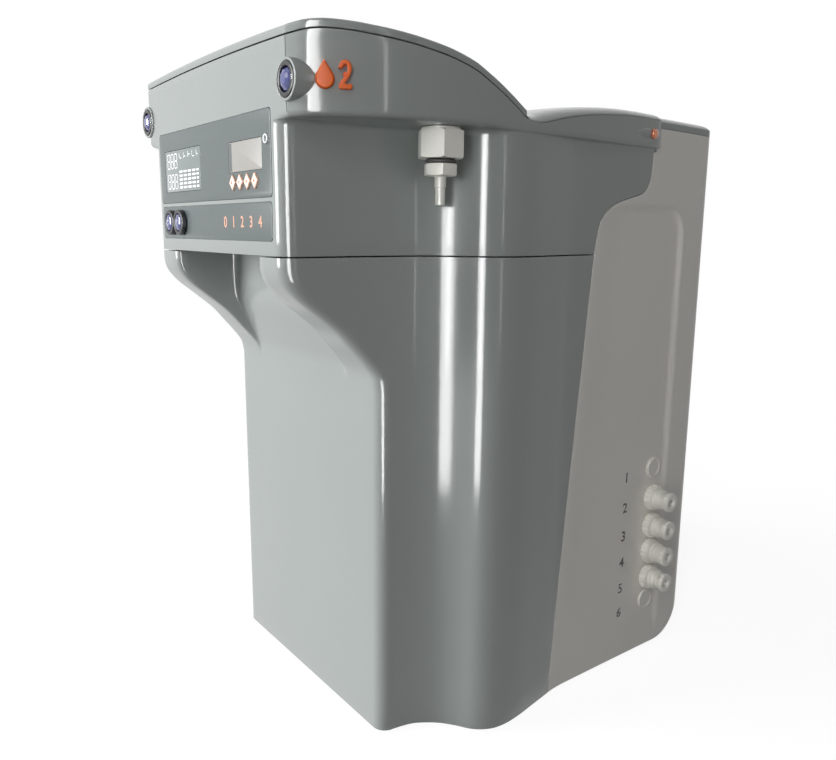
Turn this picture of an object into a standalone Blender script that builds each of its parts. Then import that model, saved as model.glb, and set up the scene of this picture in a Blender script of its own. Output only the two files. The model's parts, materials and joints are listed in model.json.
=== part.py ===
"""Laboratory water purifier: a bench unit with an overhanging dispensing head.

The casing is a grey lower housing, a grey head and an off-white rear housing, closed by a
hinged lid and a domed rear cover. Each side of the head has a push-button and an outlet
nozzle. The right side of the rear housing has four push-fit hose ports. The pump, the
filters and the electronics stand on a frame inside.

Lengths are metres. Sizes are worked out from the casing's own datum: x from its middle
plane, y back from the flat front of the head, z up from the bottom edge of the casing. An
empty carries all pieces and puts the origin on the bench, under the middle of the object.
"""
import bmesh
import bpy
from math import acos, cos, hypot, pi, radians, sin, sqrt
from mathutils import Matrix, Vector

for old_object in list(bpy.data.objects):
    bpy.data.objects.remove(old_object, do_unlink=True)

MM = 0.001

# General clearances and walls
FIT = 0.3 * MM
OVERRUN = 1.0 * MM
WALL = 3.0 * MM

# Casing, seen from above
BODY_DEPTH = 401.0 * MM
BODY_HALF_WIDTH = 153.0 * MM
NECK_INSET = 39.0 * MM
NECK_HALF_WIDTH = BODY_HALF_WIDTH - NECK_INSET
BULGE_REACH = 11.5 * MM
BULGE_HALF_WIDTH = BODY_HALF_WIDTH + BULGE_REACH
FRONT_SETBACK = 71.6 * MM
FRONT_CORNER_RADIUS = 11.0 * MM
FLARE_RUN = 26.4 * MM
FLARE_START = FRONT_SETBACK + FLARE_RUN
REAR_CORNER_RADIUS = 12.0 * MM

# Side of the casing: shares of the depth, and shares from the neck's width to the bulge's
SIDE_PLAN_SHARES = (
    (0.030, 0.00), (0.112, 0.01), (0.187, 0.05), (0.244, 0.13), (0.269, 0.24), (0.292, 0.39),
    (0.312, 0.59), (0.327, 0.77), (0.342, 0.88), (0.364, 0.97), (0.394, 1.00), (0.434, 0.97),
    (0.474, 0.91), (0.521, 0.84), (0.554, 0.79),
)
REAR_SIDE_START_SHARE = 0.60

# Lower housing: the front sweeps out under the head in two horns beside a channel
SEAM_HEIGHT = 364.0 * MM
SEAM_GAP = 1.0 * MM
FLARE_HEIGHT = 94.0 * MM
HORN_EDGE = 72.0 * MM
HORN_EDGE_WIDTH = 22.0 * MM
REAR_LENGTH_AT_BASE = 186.0 * MM
REAR_EDGE_AT_BASE = BODY_DEPTH - REAR_LENGTH_AT_BASE
REAR_LENGTH_AT_SEAM = 152.0 * MM
REAR_EDGE_AT_SEAM = BODY_DEPTH - REAR_LENGTH_AT_SEAM
PANEL_GAP = 0.6 * MM
# Fall below the seam against setback, as shares of the flare's height and of the setback
HORN_FRONT_SHARES = (
    (0.00, 0.000), (0.10, 0.004), (0.18, 0.040), (0.28, 0.150), (0.38, 0.310), (0.47, 0.460),
    (0.55, 0.585), (0.68, 0.740), (0.80, 0.880), (0.89, 0.965), (1.00, 1.000),
)
CHANNEL_BACK_SHARES = (
    (0.00, 0.700), (0.30, 0.700), (0.42, 0.715), (0.53, 0.765), (0.64, 0.840), (0.75, 0.915),
    (0.86, 0.980), (1.00, 1.000),
)
# Step from the channel to a horn: shares of the edge width and of the step's depth
HORN_STEP_SHARES = (
    (0.00, 0.00), (0.30, 0.03), (0.42, 0.13), (0.50, 0.50), (0.58, 0.87), (0.70, 0.97),
    (1.00, 1.00),
)

# Head
FASCIA_LEDGE = 11.0 * MM
FASCIA_HALF_WIDTH = NECK_HALF_WIDTH + FASCIA_LEDGE
FASCIA_EDGE_RADIUS = 2.5 * MM
RIM_REACH = 2.0 * MM
RIM_HALF_WIDTH = BULGE_HALF_WIDTH + RIM_REACH
RIM_END_DISTANCE = 81.0 * MM
RIM_LENGTH = BODY_DEPTH - RIM_END_DISTANCE
NECK_HEIGHT = 84.5 * MM
RIM_BASE_HEIGHT = SEAM_HEIGHT + NECK_HEIGHT
RIM_RISE = 49.0 * MM
RIM_EDGE_RADIUS = 4.0 * MM
CEILING_FILLET = 4.0 * MM
# Rounding between the bay wall and the ceiling: shares of the fillet, outwards and upwards
CEILING_FILLET_SHARES = ((0.25, 0.70), (0.85, 0.97))
CEILING_SLOPE = 0.3 * MM
FILLET_SHARE = 0.45
RIM_ROUND_SHARE = 0.35
# Head columns on its sides: shares of the body's depth for the wall, of the rim for the rim.
# Where the wall has no share of its own, it stands straight below the rim.
HEAD_SIDE_SHARES = (
    (0.050, 0.012), (0.112, 0.040), (0.170, 0.080), (0.210, 0.130), (0.244, 0.190), (0.269, 0.250),
    (0.292, 0.310), (0.312, 0.360), (0.327, 0.400), (None, 0.434), (None, 0.464), (None, 0.497),
    (None, 0.544), (None, 0.594), (None, 0.653), (None, 0.752), (None, 0.877),
)
FASCIA_CROWN = 2.2 * MM
FASCIA_CROWN_DEPTH = 40.0 * MM
# Rim seen from above: shares of its length, and from the fascia's to the rim's half width
RIM_PLAN_SHARES = (
    (0.000, 0.04), (0.012, 0.12), (0.028, 0.24), (0.053, 0.37), (0.085, 0.51), (0.120, 0.65),
    (0.160, 0.77), (0.210, 0.86), (0.270, 0.93), (0.340, 0.98), (0.410, 1.00), (0.516, 0.99),
    (0.675, 0.93), (0.844, 0.84), (1.000, 0.74),
)
# Upper edge of the rim: shares of the body's depth and of the rim's rise
TOP_PROFILE_SHARES = (
    (0.000, 0.940), (0.020, 0.985), (0.045, 1.000), (0.080, 0.980), (0.107, 0.950), (0.142, 0.915),
    (0.180, 0.872), (0.237, 0.785), (0.282, 0.675), (0.304, 0.590), (0.335, 0.460), (0.367, 0.308),
    (0.399, 0.155), (0.431, 0.132), (0.464, 0.185), (0.496, 0.245), (0.549, 0.320), (0.618, 0.385),
    (0.691, 0.425), (0.798, 0.435), (0.988, 0.406), (1.000, 0.403),
)
# Boundary of the white housing above the seam: shares of its height and of its run
BOUNDARY_SHARES = (
    (0.000, 0.000), (0.155, 0.030), (0.312, 0.090), (0.418, 0.210), (0.500, 0.400),
    (0.546, 0.610), (0.590, 0.820), (0.677, 0.940), (0.787, 0.985), (1.000, 1.000),
)
# Heights of the points on that boundary, as shares of its height
BOUNDARY_ROW_SHARES = (0.0, 0.20, 0.36, 0.46, 0.515, 0.55, 0.59, 0.66, 0.80, 1.0)
BOUNDARY_MARGIN = 4.0 * MM
BOUNDARY_END = RIM_LENGTH - BOUNDARY_MARGIN
BOUNDARY_DROP = 2.5 * MM
BOUNDARY_TOP = RIM_BASE_HEIGHT - BOUNDARY_DROP
HEAD_FLOOR_THICKNESS = 3.0 * MM
HEAD_FLOOR_DEPTH = 96.0 * MM

# Lid and its hinge
LID_GAP = 1.0 * MM
LID_THICKNESS = 5.0 * MM
LID_SKIN = 2.6 * MM
LID_CROWN = 6.0 * MM
LID_EDGE_RADIUS = 2.0 * MM
LID_BORDER = 5.0 * MM
# Crown across the lid: shares of the way from the front to the hinge, and of the crown
LID_CROWN_SHARES = ((0.00, 0.00), (0.25, 0.75), (0.50, 1.00), (0.75, 0.75), (0.95, 0.00))
# The hinge lies just before the valley of the wave, at this share of the body's depth
HINGE_SHARE = 0.393
HINGE_SETBACK = HINGE_SHARE * BODY_DEPTH
HINGE_RISE = 1.0 * MM
HINGE_TAIL = 0.5 * MM
HINGE_PIN_RADIUS = 1.2 * MM
KNUCKLE_RADIUS = 2.8 * MM
EAR_RADIUS = 2.6 * MM
EAR_WIDTH = 8.0 * MM
EAR_NOTCH_MARGIN = 1.5 * MM
EAR_NOTCH_DEPTH = 4.0 * MM
EAR_INSET = 9.0 * MM
OUTER_EAR_PLACE = BODY_HALF_WIDTH - EAR_INSET
RAIL_DEPTH = 20.0 * MM
RAIL_HEIGHT = 14.0 * MM
RAIL_LEAD = 6.0 * MM
RAIL_DROP = 6.0 * MM

# Rear housing and its cover
REAR_BASE_RADIUS = 29.0 * MM
COVER_BAND = 5.0 * MM
COVER_SKIN = 2.5 * MM
COVER_LIP = 1.0 * MM
COVER_FRONT_GAP = 4.2 * MM
COVER_CROWN = 10.0 * MM
SHOULDER_WIDTH = 80.0 * MM
# Shoulder of the domed cover: shares of the shoulder's width and of the crown
SHOULDER_SHARES = ((0.00, 0.00), (0.025, 0.17), (0.06, 0.33), (0.12, 0.50), (0.22, 0.65),
                   (0.45, 0.82), (1.00, 1.00))
SIDE_RECESS_DEPTH = 3.0 * MM
SIDE_RECESS_MARGIN = 35.0 * MM
SIDE_RECESS_END = BODY_DEPTH - SIDE_RECESS_MARGIN
SIDE_RECESS_RISE = 40.0 * MM
SIDE_RECESS_TOP = SEAM_HEIGHT + SIDE_RECESS_RISE
SIDE_RECESS_RADIUS = 24.0 * MM
SIDE_RECESS_SOFTNESS = 7.0 * MM
SIDE_RECESS_LIFT = 35.0 * MM
# The recess deepens over this share of the way from the housing's front edge to its ports
RECESS_LEAD_SHARE = 0.40

# Base and feet
BASE_THICKNESS = 3.0 * MM
BASE_LIFT = 0.5 * MM
FOOT_RADIUS = 13.0 * MM
FOOT_PROUD = 3.0 * MM
FOOT_CHAMFER = 1.0 * MM
FRONT_FOOT_INSET = 22.0 * MM
FRONT_FOOT_X = NECK_HALF_WIDTH - FRONT_FOOT_INSET
FRONT_FOOT_SETBACK = 26.4 * MM
FRONT_FOOT_Y = FRONT_SETBACK + FRONT_FOOT_SETBACK
REAR_FOOT_INSET = 31.0 * MM
REAR_FOOT_X = BODY_HALF_WIDTH - REAR_FOOT_INSET
REAR_FOOT_SETBACK = 71.0 * MM
REAR_FOOT_Y = BODY_DEPTH - REAR_FOOT_SETBACK

# Display panel and button strip in the fascia
PANEL_SIDE_MARGIN = 13.0 * MM
PANEL_HALF_WIDTH = NECK_HALF_WIDTH - PANEL_SIDE_MARGIN
STRIP_NARROWING = 1.0 * MM
STRIP_HALF_WIDTH = PANEL_HALF_WIDTH - STRIP_NARROWING
STRIP_RISE = 10.0 * MM
STRIP_HEIGHT = 25.0 * MM
STRIP_BASE = SEAM_HEIGHT + STRIP_RISE
STRIP_TOP = STRIP_BASE + STRIP_HEIGHT
PANEL_SPACING = 3.0 * MM
PANEL_HEIGHT = 54.5 * MM
PANEL_BASE = STRIP_TOP + PANEL_SPACING
PANEL_TOP = PANEL_BASE + PANEL_HEIGHT
PANEL_CORNER = 3.0 * MM
PANEL_THICKNESS = 1.5 * MM
POCKET_DEPTH = 1.5 * MM
WINDOW_MARGIN = 2.0 * MM
METER_MARGIN = 12.0 * MM
METER_LEFT = METER_MARGIN - PANEL_HALF_WIDTH
METER_WIDTH = 73.0 * MM
METER_RISE = 8.6 * MM
METER_BASE = PANEL_BASE + METER_RISE
METER_HEIGHT = 31.8 * MM
LCD_MARGIN = 13.5 * MM
LCD_WIDTH = 51.0 * MM
LCD_LEFT = PANEL_HALF_WIDTH - LCD_MARGIN - LCD_WIDTH
KEY_RISE = 11.0 * MM
KEY_SPACING = 7.0 * MM
KEY_HEIGHT_POSITION = PANEL_BASE + KEY_RISE
LCD_BASE = KEY_HEIGHT_POSITION + KEY_SPACING
LCD_HEIGHT = 19.7 * MM
LENS_THICKNESS = 2.4 * MM
LENS_RECESS = 0.1 * MM
KEY_COUNT = 4
FIRST_KEY_MARGIN = 6.5 * MM
FIRST_KEY_X = LCD_LEFT + FIRST_KEY_MARGIN
KEY_PITCH = 11.6 * MM
KEY_HALF_WIDTH = 4.9 * MM
KEY_HALF_HEIGHT = 5.4 * MM
KEY_PROUD = 1.3 * MM
KEY_STANDOFF = 1.0 * MM
KEY_CLEARANCE = 0.35 * MM
STATUS_LAMP_MARGIN = 5.6 * MM
STATUS_LAMP_X = PANEL_HALF_WIDTH - STATUS_LAMP_MARGIN
STATUS_LAMP_RISE = 36.0 * MM
STATUS_LAMP_Z = PANEL_BASE + STATUS_LAMP_RISE
STATUS_LAMP_RADIUS = 3.0 * MM
STATUS_LAMP_PROUD = 1.4 * MM
STATUS_LAMP_LENGTH = 6.0 * MM

# Round push-buttons in the strip
PANEL_BUTTON_MARGIN = 21.7 * MM
PANEL_BUTTON_PITCH = 20.6 * MM
PANEL_BUTTON_PLACES = {"power_button": PANEL_BUTTON_MARGIN - STRIP_HALF_WIDTH,
                       "mode_button": PANEL_BUTTON_MARGIN + PANEL_BUTTON_PITCH - STRIP_HALF_WIDTH}
PANEL_BUTTON_HEIGHT = (STRIP_BASE + STRIP_TOP) / 2
PANEL_BEZEL_RADIUS = 10.0 * MM
PANEL_BEZEL_PROUD = 3.6 * MM
PANEL_BEZEL_NECK = 8.0 * MM
PANEL_BEZEL_LENGTH = 16.0 * MM
BEZEL_CHAMFER = 0.9 * MM
PANEL_CAP_RADIUS = 6.7 * MM
PANEL_CAP_PROUD = 0.8 * MM
PANEL_CAP_LENGTH = 9.0 * MM

# Dispensing buttons at the front corners of the head
BOSS_INSET = 0.5 * MM
BOSS_X = FASCIA_HALF_WIDTH - BOSS_INSET
BOSS_RISE = 21.0 * MM
BOSS_HEIGHT = RIM_BASE_HEIGHT + BOSS_RISE
BOSS_RADIUS = 12.5 * MM
BOSS_PROUD = 1.5 * MM
BOSS_LENGTH = 17.0 * MM
BOSS_WALL = 1.7 * MM
DISPENSE_BEZEL_LENGTH = 15.0 * MM
DISPENSE_BEZEL_PROUD = 0.6 * MM
DISPENSE_BEZEL_WIDTH = 3.0 * MM
DISPENSE_CAP_PROUD = 1.2 * MM
DISPENSE_CAP_LENGTH = 8.0 * MM
CAP_CLEARANCE = 0.3 * MM
CAP_DOME = 1.4 * MM
CUP_FLOOR = 1.6 * MM

# Raised orange marks on the rim, behind the buttons: a drop and a number
SIDE_WORDS = {1: "right", -1: "left"}
MARK_SETBACK = 16.5 * MM
MARK_PITCH = 10.6 * MM
MARK_RISE = 23.3 * MM
MARK_MIDDLE_HEIGHT = RIM_BASE_HEIGHT + MARK_RISE
MARK_HEIGHT = 16.5 * MM
MARK_WIDTH = 10.0 * MM
MARK_THICKNESS = 3.4 * MM
MARK_SEAT = 0.35 * MM
PEG_RADIUS = 1.5 * MM
MARK_BAR_RADIUS = 1.3 * MM
MARK_BAR_GAP = 0.6 * MM
DROP_WIDTH = 11.5 * MM
DROP_STEPS = 8
NUMERAL_WIDTH = 8.5 * MM
# Outlines of the numbers, as shares of their width and height
NUMERAL_SHARES = {
    "right": ((0.02, 0.00), (0.96, 0.00), (0.96, 0.17), (0.42, 0.17), (0.80, 0.46), (0.94, 0.66),
              (0.90, 0.84), (0.70, 0.97), (0.45, 1.00), (0.18, 0.94), (0.03, 0.78), (0.02, 0.70),
              (0.30, 0.70), (0.36, 0.80), (0.50, 0.835), (0.62, 0.80), (0.66, 0.68), (0.58, 0.54),
              (0.02, 0.16)),
    "left": ((0.30, 0.00), (0.70, 0.00), (0.70, 1.00), (0.44, 1.00), (0.06, 0.78), (0.18, 0.62),
             (0.30, 0.70)),
}

# Orange side lamps at the rear ends of the rim
SIDE_LAMP_MARGIN = 10.0 * MM
SIDE_LAMP_SETBACK = RIM_LENGTH - SIDE_LAMP_MARGIN
SIDE_LAMP_RISE = 10.5 * MM
SIDE_LAMP_HEIGHT = RIM_BASE_HEIGHT + SIDE_LAMP_RISE
SIDE_LAMP_RADIUS = 4.0 * MM
SIDE_LAMP_PROUD = 3.0 * MM
SIDE_LAMP_STEM = 2.0 * MM

# Outlet nozzles under the head
NOZZLE_REACH = 30.0 * MM
NOZZLE_X = NECK_HALF_WIDTH + NOZZLE_REACH
NOZZLE_SETBACK = 101.7 * MM
NOZZLE_HEX_RADIUS = 16.2 * MM
NOZZLE_HEX_HEIGHT = 18.0 * MM
NOZZLE_PAD_RADIUS = 13.0 * MM
NOZZLE_PAD_HEIGHT = 1.5 * MM
NOZZLE_SHANK_RADIUS = 6.0 * MM
NOZZLE_SHANK_LENGTH = 12.0 * MM
NOZZLE_BORE_RADIUS = 2.2 * MM
SEAL_OUTER_RADIUS = 10.4 * MM
SEAL_HEIGHT = 2.8 * MM
NUT_HEX_RADIUS = 11.6 * MM
NUT_HEIGHT = 7.6 * MM
SPIGOT_RADIUS = 5.0 * MM
TIP_RADIUS = 3.8 * MM
TIP_LENGTH = 19.0 * MM
TIP_STEP = 7.7 * MM
TIP_STEP_DEPTH = 0.5 * MM
TIP_ROOT_RADIUS = 4.6 * MM

# Hose ports on the right side
PORT_MARGIN = 19.0 * MM
PORT_SETBACK = SIDE_RECESS_END - PORT_MARGIN
LOWEST_PORT_HEIGHT = 68.5 * MM
PORT_PITCH = 25.0 * MM
UPPER_PORT_PITCH = 26.5 * MM
PORT_HEIGHTS = (LOWEST_PORT_HEIGHT + 2 * PORT_PITCH + UPPER_PORT_PITCH, LOWEST_PORT_HEIGHT + 2 * PORT_PITCH,
                LOWEST_PORT_HEIGHT + PORT_PITCH, LOWEST_PORT_HEIGHT)
UPPER_BLANK_SPACING = 28.0 * MM
LOWER_BLANK_SPACING = 23.5 * MM
BLANK_HEIGHTS = (PORT_HEIGHTS[0] + UPPER_BLANK_SPACING, PORT_HEIGHTS[-1] - LOWER_BLANK_SPACING)
PORT_NUT_RADIUS = 11.6 * MM
PORT_NUT_LENGTH = 7.0 * MM
PORT_BODY_RADIUS = 8.3 * MM
PORT_RIB_RADIUS = 9.1 * MM
PORT_BODY_LENGTH = 6.5 * MM
PORT_RIB_COUNT = 2
PORT_NECK_RADIUS = 6.8 * MM
PORT_NECK_LENGTH = 2.6 * MM
PORT_SHANK_RADIUS = 6.5 * MM
PORT_SHANK_LENGTH = 16.0 * MM
PORT_BORE_RADIUS = 3.3 * MM
COLLET_SLEEVE_RADIUS = 5.2 * MM
COLLET_FLANGE_RADIUS = 8.6 * MM
COLLET_FLANGE_LENGTH = 4.5 * MM
COLLET_CHAMFER = 0.8 * MM
COLLET_SLEEVE_LENGTH = 9.0 * MM
COLLET_TRAVEL_ROOM = 1.9 * MM
BLANK_RADIUS = 9.2 * MM
BLANK_PROUD = 2.4 * MM

# Mains inlet in the rear wall
INLET_INSET = 58.0 * MM
INLET_X = INLET_INSET - BODY_HALF_WIDTH
INLET_HEIGHT = 80.0 * MM
INLET_FLANGE_WIDTH = 50.0 * MM
INLET_FLANGE_HEIGHT = 28.0 * MM
INLET_FLANGE_THICKNESS = 2.5 * MM
INLET_BODY_WIDTH = 28.0 * MM
INLET_BODY_HEIGHT = 22.0 * MM
INLET_BODY_DEPTH = 20.0 * MM
INLET_SOCKET_WIDTH = 24.0 * MM
INLET_SOCKET_HEIGHT = 18.0 * MM
INLET_SOCKET_DEPTH = 17.0 * MM
INLET_CUT_CORNER = 5.0 * MM
INLET_PIN_LENGTH = 14.0 * MM
INLET_PIN_WIDTH = 2.0 * MM
INLET_PIN_HEIGHT = 4.0 * MM
INLET_PIN_SPREAD = 7.0 * MM
INLET_PIN_RISE = 3.0 * MM

# Inside: a sheet-metal frame with a tray, an upright and a shelf
TRAY_INSET = 14.0 * MM
TRAY_HALF_WIDTH = NECK_HALF_WIDTH - TRAY_INSET
SHEET = 2.0 * MM
FRAME_FRONT_SPACE = 40.4 * MM
FRAME_START = FRONT_SETBACK + FRAME_FRONT_SPACE
FRAME_REAR_SPACE = 63.0 * MM
FRAME_END = BODY_DEPTH - FRAME_REAR_SPACE
UPRIGHT_RISE = 51.0 * MM
UPRIGHT_TOP = SEAM_HEIGHT + UPRIGHT_RISE
SHELF_HEIGHT = 112.0 * MM
SHELF_WIDTH = 70.0 * MM

# Booster pump on its foot
PUMP_SIDE_SPACE = 10.0 * MM
PUMP_FOOT_WIDTH = 70.0 * MM
PUMP_X = -(SHEET / 2 + PUMP_SIDE_SPACE + PUMP_FOOT_WIDTH / 2)
PUMP_SPACE = 28.0 * MM
PUMP_START = FRAME_START + PUMP_SPACE
MOTOR_RADIUS = 27.0 * MM
MOTOR_LENGTH = 95.0 * MM
PUMP_HEAD_RADIUS = 33.0 * MM
PUMP_HEAD_LENGTH = 38.0 * MM
PUMP_FOOT_LENGTH = 80.0 * MM
PUMP_FOOT_HEIGHT = 12.0 * MM
PUMP_FOOT_SETBACK = 45.0 * MM

# Filter cartridges against the upright
CARTRIDGE_RADIUS = 32.0 * MM
CARTRIDGE_HEIGHT = 270.0 * MM
CARTRIDGE_CAP_RADIUS = 24.0 * MM
CARTRIDGE_CAP_HEIGHT = 16.0 * MM
CARTRIDGE_SHOULDER = 8.0 * MM
CARTRIDGE_FRONT_SPACE = 58.0 * MM
CARTRIDGE_PITCH = 75.0 * MM
FIRST_CARTRIDGE_SETBACK = FRAME_START + CARTRIDGE_FRONT_SPACE
ION_CARTRIDGE_PLACES = (FIRST_CARTRIDGE_SETBACK, FIRST_CARTRIDGE_SETBACK + CARTRIDGE_PITCH)
PREFILTER_HEIGHT = 250.0 * MM
MEMBRANE_SPACE = 48.0 * MM
MEMBRANE_SETBACK = FRAME_START + MEMBRANE_SPACE
PREFILTER_PITCH = 76.0 * MM
PREFILTER_SETBACK = MEMBRANE_SETBACK + PREFILTER_PITCH
MEMBRANE_RADIUS = 30.0 * MM
MEMBRANE_HEIGHT = 300.0 * MM

# Valve block, valves, power supply and display board
MANIFOLD_SPACE = 28.0 * MM
MANIFOLD_SETBACK = FRAME_START + MANIFOLD_SPACE
MANIFOLD_BASE = 345.0 * MM
MANIFOLD_WIDTH = 40.0 * MM
MANIFOLD_DEPTH = 64.0 * MM
MANIFOLD_HEIGHT = 28.0 * MM
VALVE_RADIUS = 12.0 * MM
VALVE_HEIGHT = 30.0 * MM
VALVE_STUB_RADIUS = 4.0 * MM
VALVE_STUB_HEIGHT = 8.0 * MM
SUPPLY_END_SPACE = 5.0 * MM
SUPPLY_DEPTH = 55.0 * MM
SUPPLY_SETBACK = FRAME_END - SUPPLY_END_SPACE - SUPPLY_DEPTH
SUPPLY_WIDTH = 52.0 * MM
SUPPLY_HEIGHT = 130.0 * MM
BOARD_SETBACK = 9.0 * MM
BOARD_THICKNESS = 1.6 * MM
BOARD_INSET = 2.0 * MM
BOARD_HALF_WIDTH = PANEL_HALF_WIDTH - BOARD_INSET
BOARD_DROP = 2.0 * MM
BOARD_BASE = PANEL_BASE - BOARD_DROP
BOARD_TOP_DROP = 4.5 * MM
BOARD_TOP = PANEL_TOP - BOARD_TOP_DROP
MODULE_MARGIN = 2.0 * MM
POST_RADIUS = 3.0 * MM
POST_MARGIN = 4.0 * MM

# Hoses inside the casing: hand-laid routes between their ends, in millimetres
HOSE_RADIUS = 3.0 * MM
HOSE_STEPS = 20
HOSE_SIDES = 8
HOSE_ROUTES = {
    "right": ((23, 156, 424), (48, 158, 431), (90, 158, 431), (126, 154, 432), (141, 142, 444),
              (144, 131, 459), (144, 118, 472), (144, 105.5, 474), (144, 102.2, 468)),
    "left": ((20, 189, 424), (-4, 194, 432), (-50, 196, 433), (-92, 180, 431), (-126, 155, 432),
             (-141, 142, 444), (-144, 131, 459), (-144, 118, 472), (-144, 105.5, 474),
             (-144, 102.2, 468)),
}

# Counts of points round turned pieces and in arcs
BOSS_SIDES = 24
FINE_SIDES = 20
SIDES = 14
SMALL_SIDES = 10
ARC_STEPS = 3
FRONT_COLUMNS = 3
FRONT_SIDES = 8
SMOOTH_ANGLE = radians(38)
SAME_PLACE = 0.001 * MM

# Finishes: colour, roughness and metallic value
FINISHES = {
    "grey_shell": ((0.38, 0.40, 0.39), 0.22, 0.0),
    "white_shell": ((0.62, 0.62, 0.60), 0.35, 0.0),
    "panel": ((0.19, 0.21, 0.21), 0.30, 0.0),
    "black": ((0.02, 0.02, 0.025), 0.25, 0.0),
    "blue": ((0.10, 0.11, 0.36), 0.15, 0.0),
    "orange": ((0.85, 0.16, 0.03), 0.35, 0.0),
    "key": ((0.80, 0.55, 0.42), 0.40, 0.0),
    "lens": ((0.45, 0.48, 0.47), 0.10, 0.0),
    "fitting": ((0.78, 0.77, 0.74), 0.40, 0.0),
    "rubber": ((0.03, 0.03, 0.03), 0.80, 0.0),
    "steel": ((0.60, 0.60, 0.62), 0.30, 1.0),
    "board": ((0.03, 0.20, 0.08), 0.50, 0.0),
    "cartridge": ((0.75, 0.78, 0.82), 0.35, 0.0),
}

bench_frame = bpy.data.objects.new("bench_frame", None)
bpy.context.collection.objects.link(bench_frame)


# Curves

def smooth_value(table, t):
    """Value at t of a smooth curve through (t, value) pairs, level beyond both ends."""
    if t <= table[0][0]:
        return table[0][1]
    if t >= table[-1][0]:
        return table[-1][1]
    k = next(i for i in range(len(table) - 1) if t <= table[i + 1][0])

    def slope(i):
        low, high = table[max(i - 1, 0)], table[min(i + 1, len(table) - 1)]
        return (high[1] - low[1]) / (high[0] - low[0])

    (t0, v0), (t1, v1) = table[k], table[k + 1]
    span = t1 - t0
    s = (t - t0) / span
    start, end = slope(k) * span, slope(k + 1) * span
    rise = v1 - v0
    return v0 + s * (start + s * (3 * rise - 2 * start - end + s * (start + end - 2 * rise)))


def smooth_step(t):
    """Zero below 0, one above 1, with a soft rise between."""
    t = min(max(t, 0.0), 1.0)
    return t * t * (3 - 2 * t)


REAR_WIDTH_SHARE = (BODY_HALF_WIDTH - NECK_HALF_WIDTH) / (BULGE_HALF_WIDTH - NECK_HALF_WIDTH)
SIDE_TABLE = SIDE_PLAN_SHARES + ((REAR_SIDE_START_SHARE, REAR_WIDTH_SHARE), (1.0, REAR_WIDTH_SHARE))


def side_x(y):
    """Half width of the casing's wall at a place along its depth."""
    share = smooth_value(SIDE_TABLE, y / BODY_DEPTH)
    return NECK_HALF_WIDTH + share * (BULGE_HALF_WIDTH - NECK_HALF_WIDTH)


def rim_x(y):
    """Half width of the head's rim at a place along its depth."""
    share = smooth_value(RIM_PLAN_SHARES, y / RIM_LENGTH)
    return FASCIA_HALF_WIDTH + share * (RIM_HALF_WIDTH - FASCIA_HALF_WIDTH)


def rim_top(x, y):
    """Height of the rim's upper edge, which crowns slightly across the fascia."""
    side = RIM_BASE_HEIGHT + RIM_RISE * smooth_value(TOP_PROFILE_SHARES, y / BODY_DEPTH)
    across = min(abs(x) / FASCIA_HALF_WIDTH, 1.0)
    fade = 1 - smooth_step(y / FASCIA_CROWN_DEPTH)
    return side + FASCIA_CROWN * (1 - across * across) * fade


def rear_edge(z):
    """Where the grey wall ends and the white housing starts, at a height."""
    if z <= SEAM_HEIGHT:
        return REAR_EDGE_AT_BASE + (REAR_EDGE_AT_SEAM - REAR_EDGE_AT_BASE) * z / SEAM_HEIGHT
    share = smooth_value(BOUNDARY_SHARES, (z - SEAM_HEIGHT) / (BOUNDARY_TOP - SEAM_HEIGHT))
    return REAR_EDGE_AT_SEAM + share * (BOUNDARY_END - REAR_EDGE_AT_SEAM)


def front_corner(front):
    """Arc from the front face to the side wall, for a front face at this setback."""
    centre_y = front + FRONT_CORNER_RADIUS
    centre_x = side_x(centre_y) - FRONT_CORNER_RADIUS
    angles = [pi / 2 * k / ARC_STEPS for k in range(ARC_STEPS + 1)]
    return [(centre_x + FRONT_CORNER_RADIUS * sin(a), centre_y - FRONT_CORNER_RADIUS * cos(a))
            for a in angles]


def mirrored(half):
    """Whole outline, from the left end round the front to the right end."""
    return [(-x, y) for x, y in reversed(half[1:])] + half


def inset(outline, distances):
    """Points of an open outline, each moved to its left by its own distance."""
    moved = []
    count = len(outline)
    for k, (x, y) in enumerate(outline):
        tangents = []
        for a, b in ((k - 1, k), (k, k + 1)):
            if a >= 0 and b < count:
                (ax, ay), (bx, by) = outline[a], outline[b]
                dx, dy = bx - ax, by - ay
                length = hypot(dx, dy)
                tangents.append((dx / length, dy / length))
        mean = Vector((sum(t[0] for t in tangents), sum(t[1] for t in tangents)))
        mean.normalize()
        along = mean[0] * tangents[0][0] + mean[1] * tangents[0][1]
        reach = distances[k] / max(along, sqrt(0.5))
        moved.append((x - mean[1] * reach, y + mean[0] * reach))
    return moved


# Solids

class Solid:
    """Points and faces of one or more closed bodies."""

    def __init__(self):
        self.points = []
        self.faces = []

    def add(self, points, faces):
        start = len(self.points)
        self.points += [Vector(p) for p in points]
        self.faces += [tuple(start + i for i in face) for face in faces]
        return self

    def moved(self, matrix):
        other = Solid()
        return other.add([matrix @ p for p in self.points], self.faces)

    def join(self, other):
        return self.add(other.points, other.faces)


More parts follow.
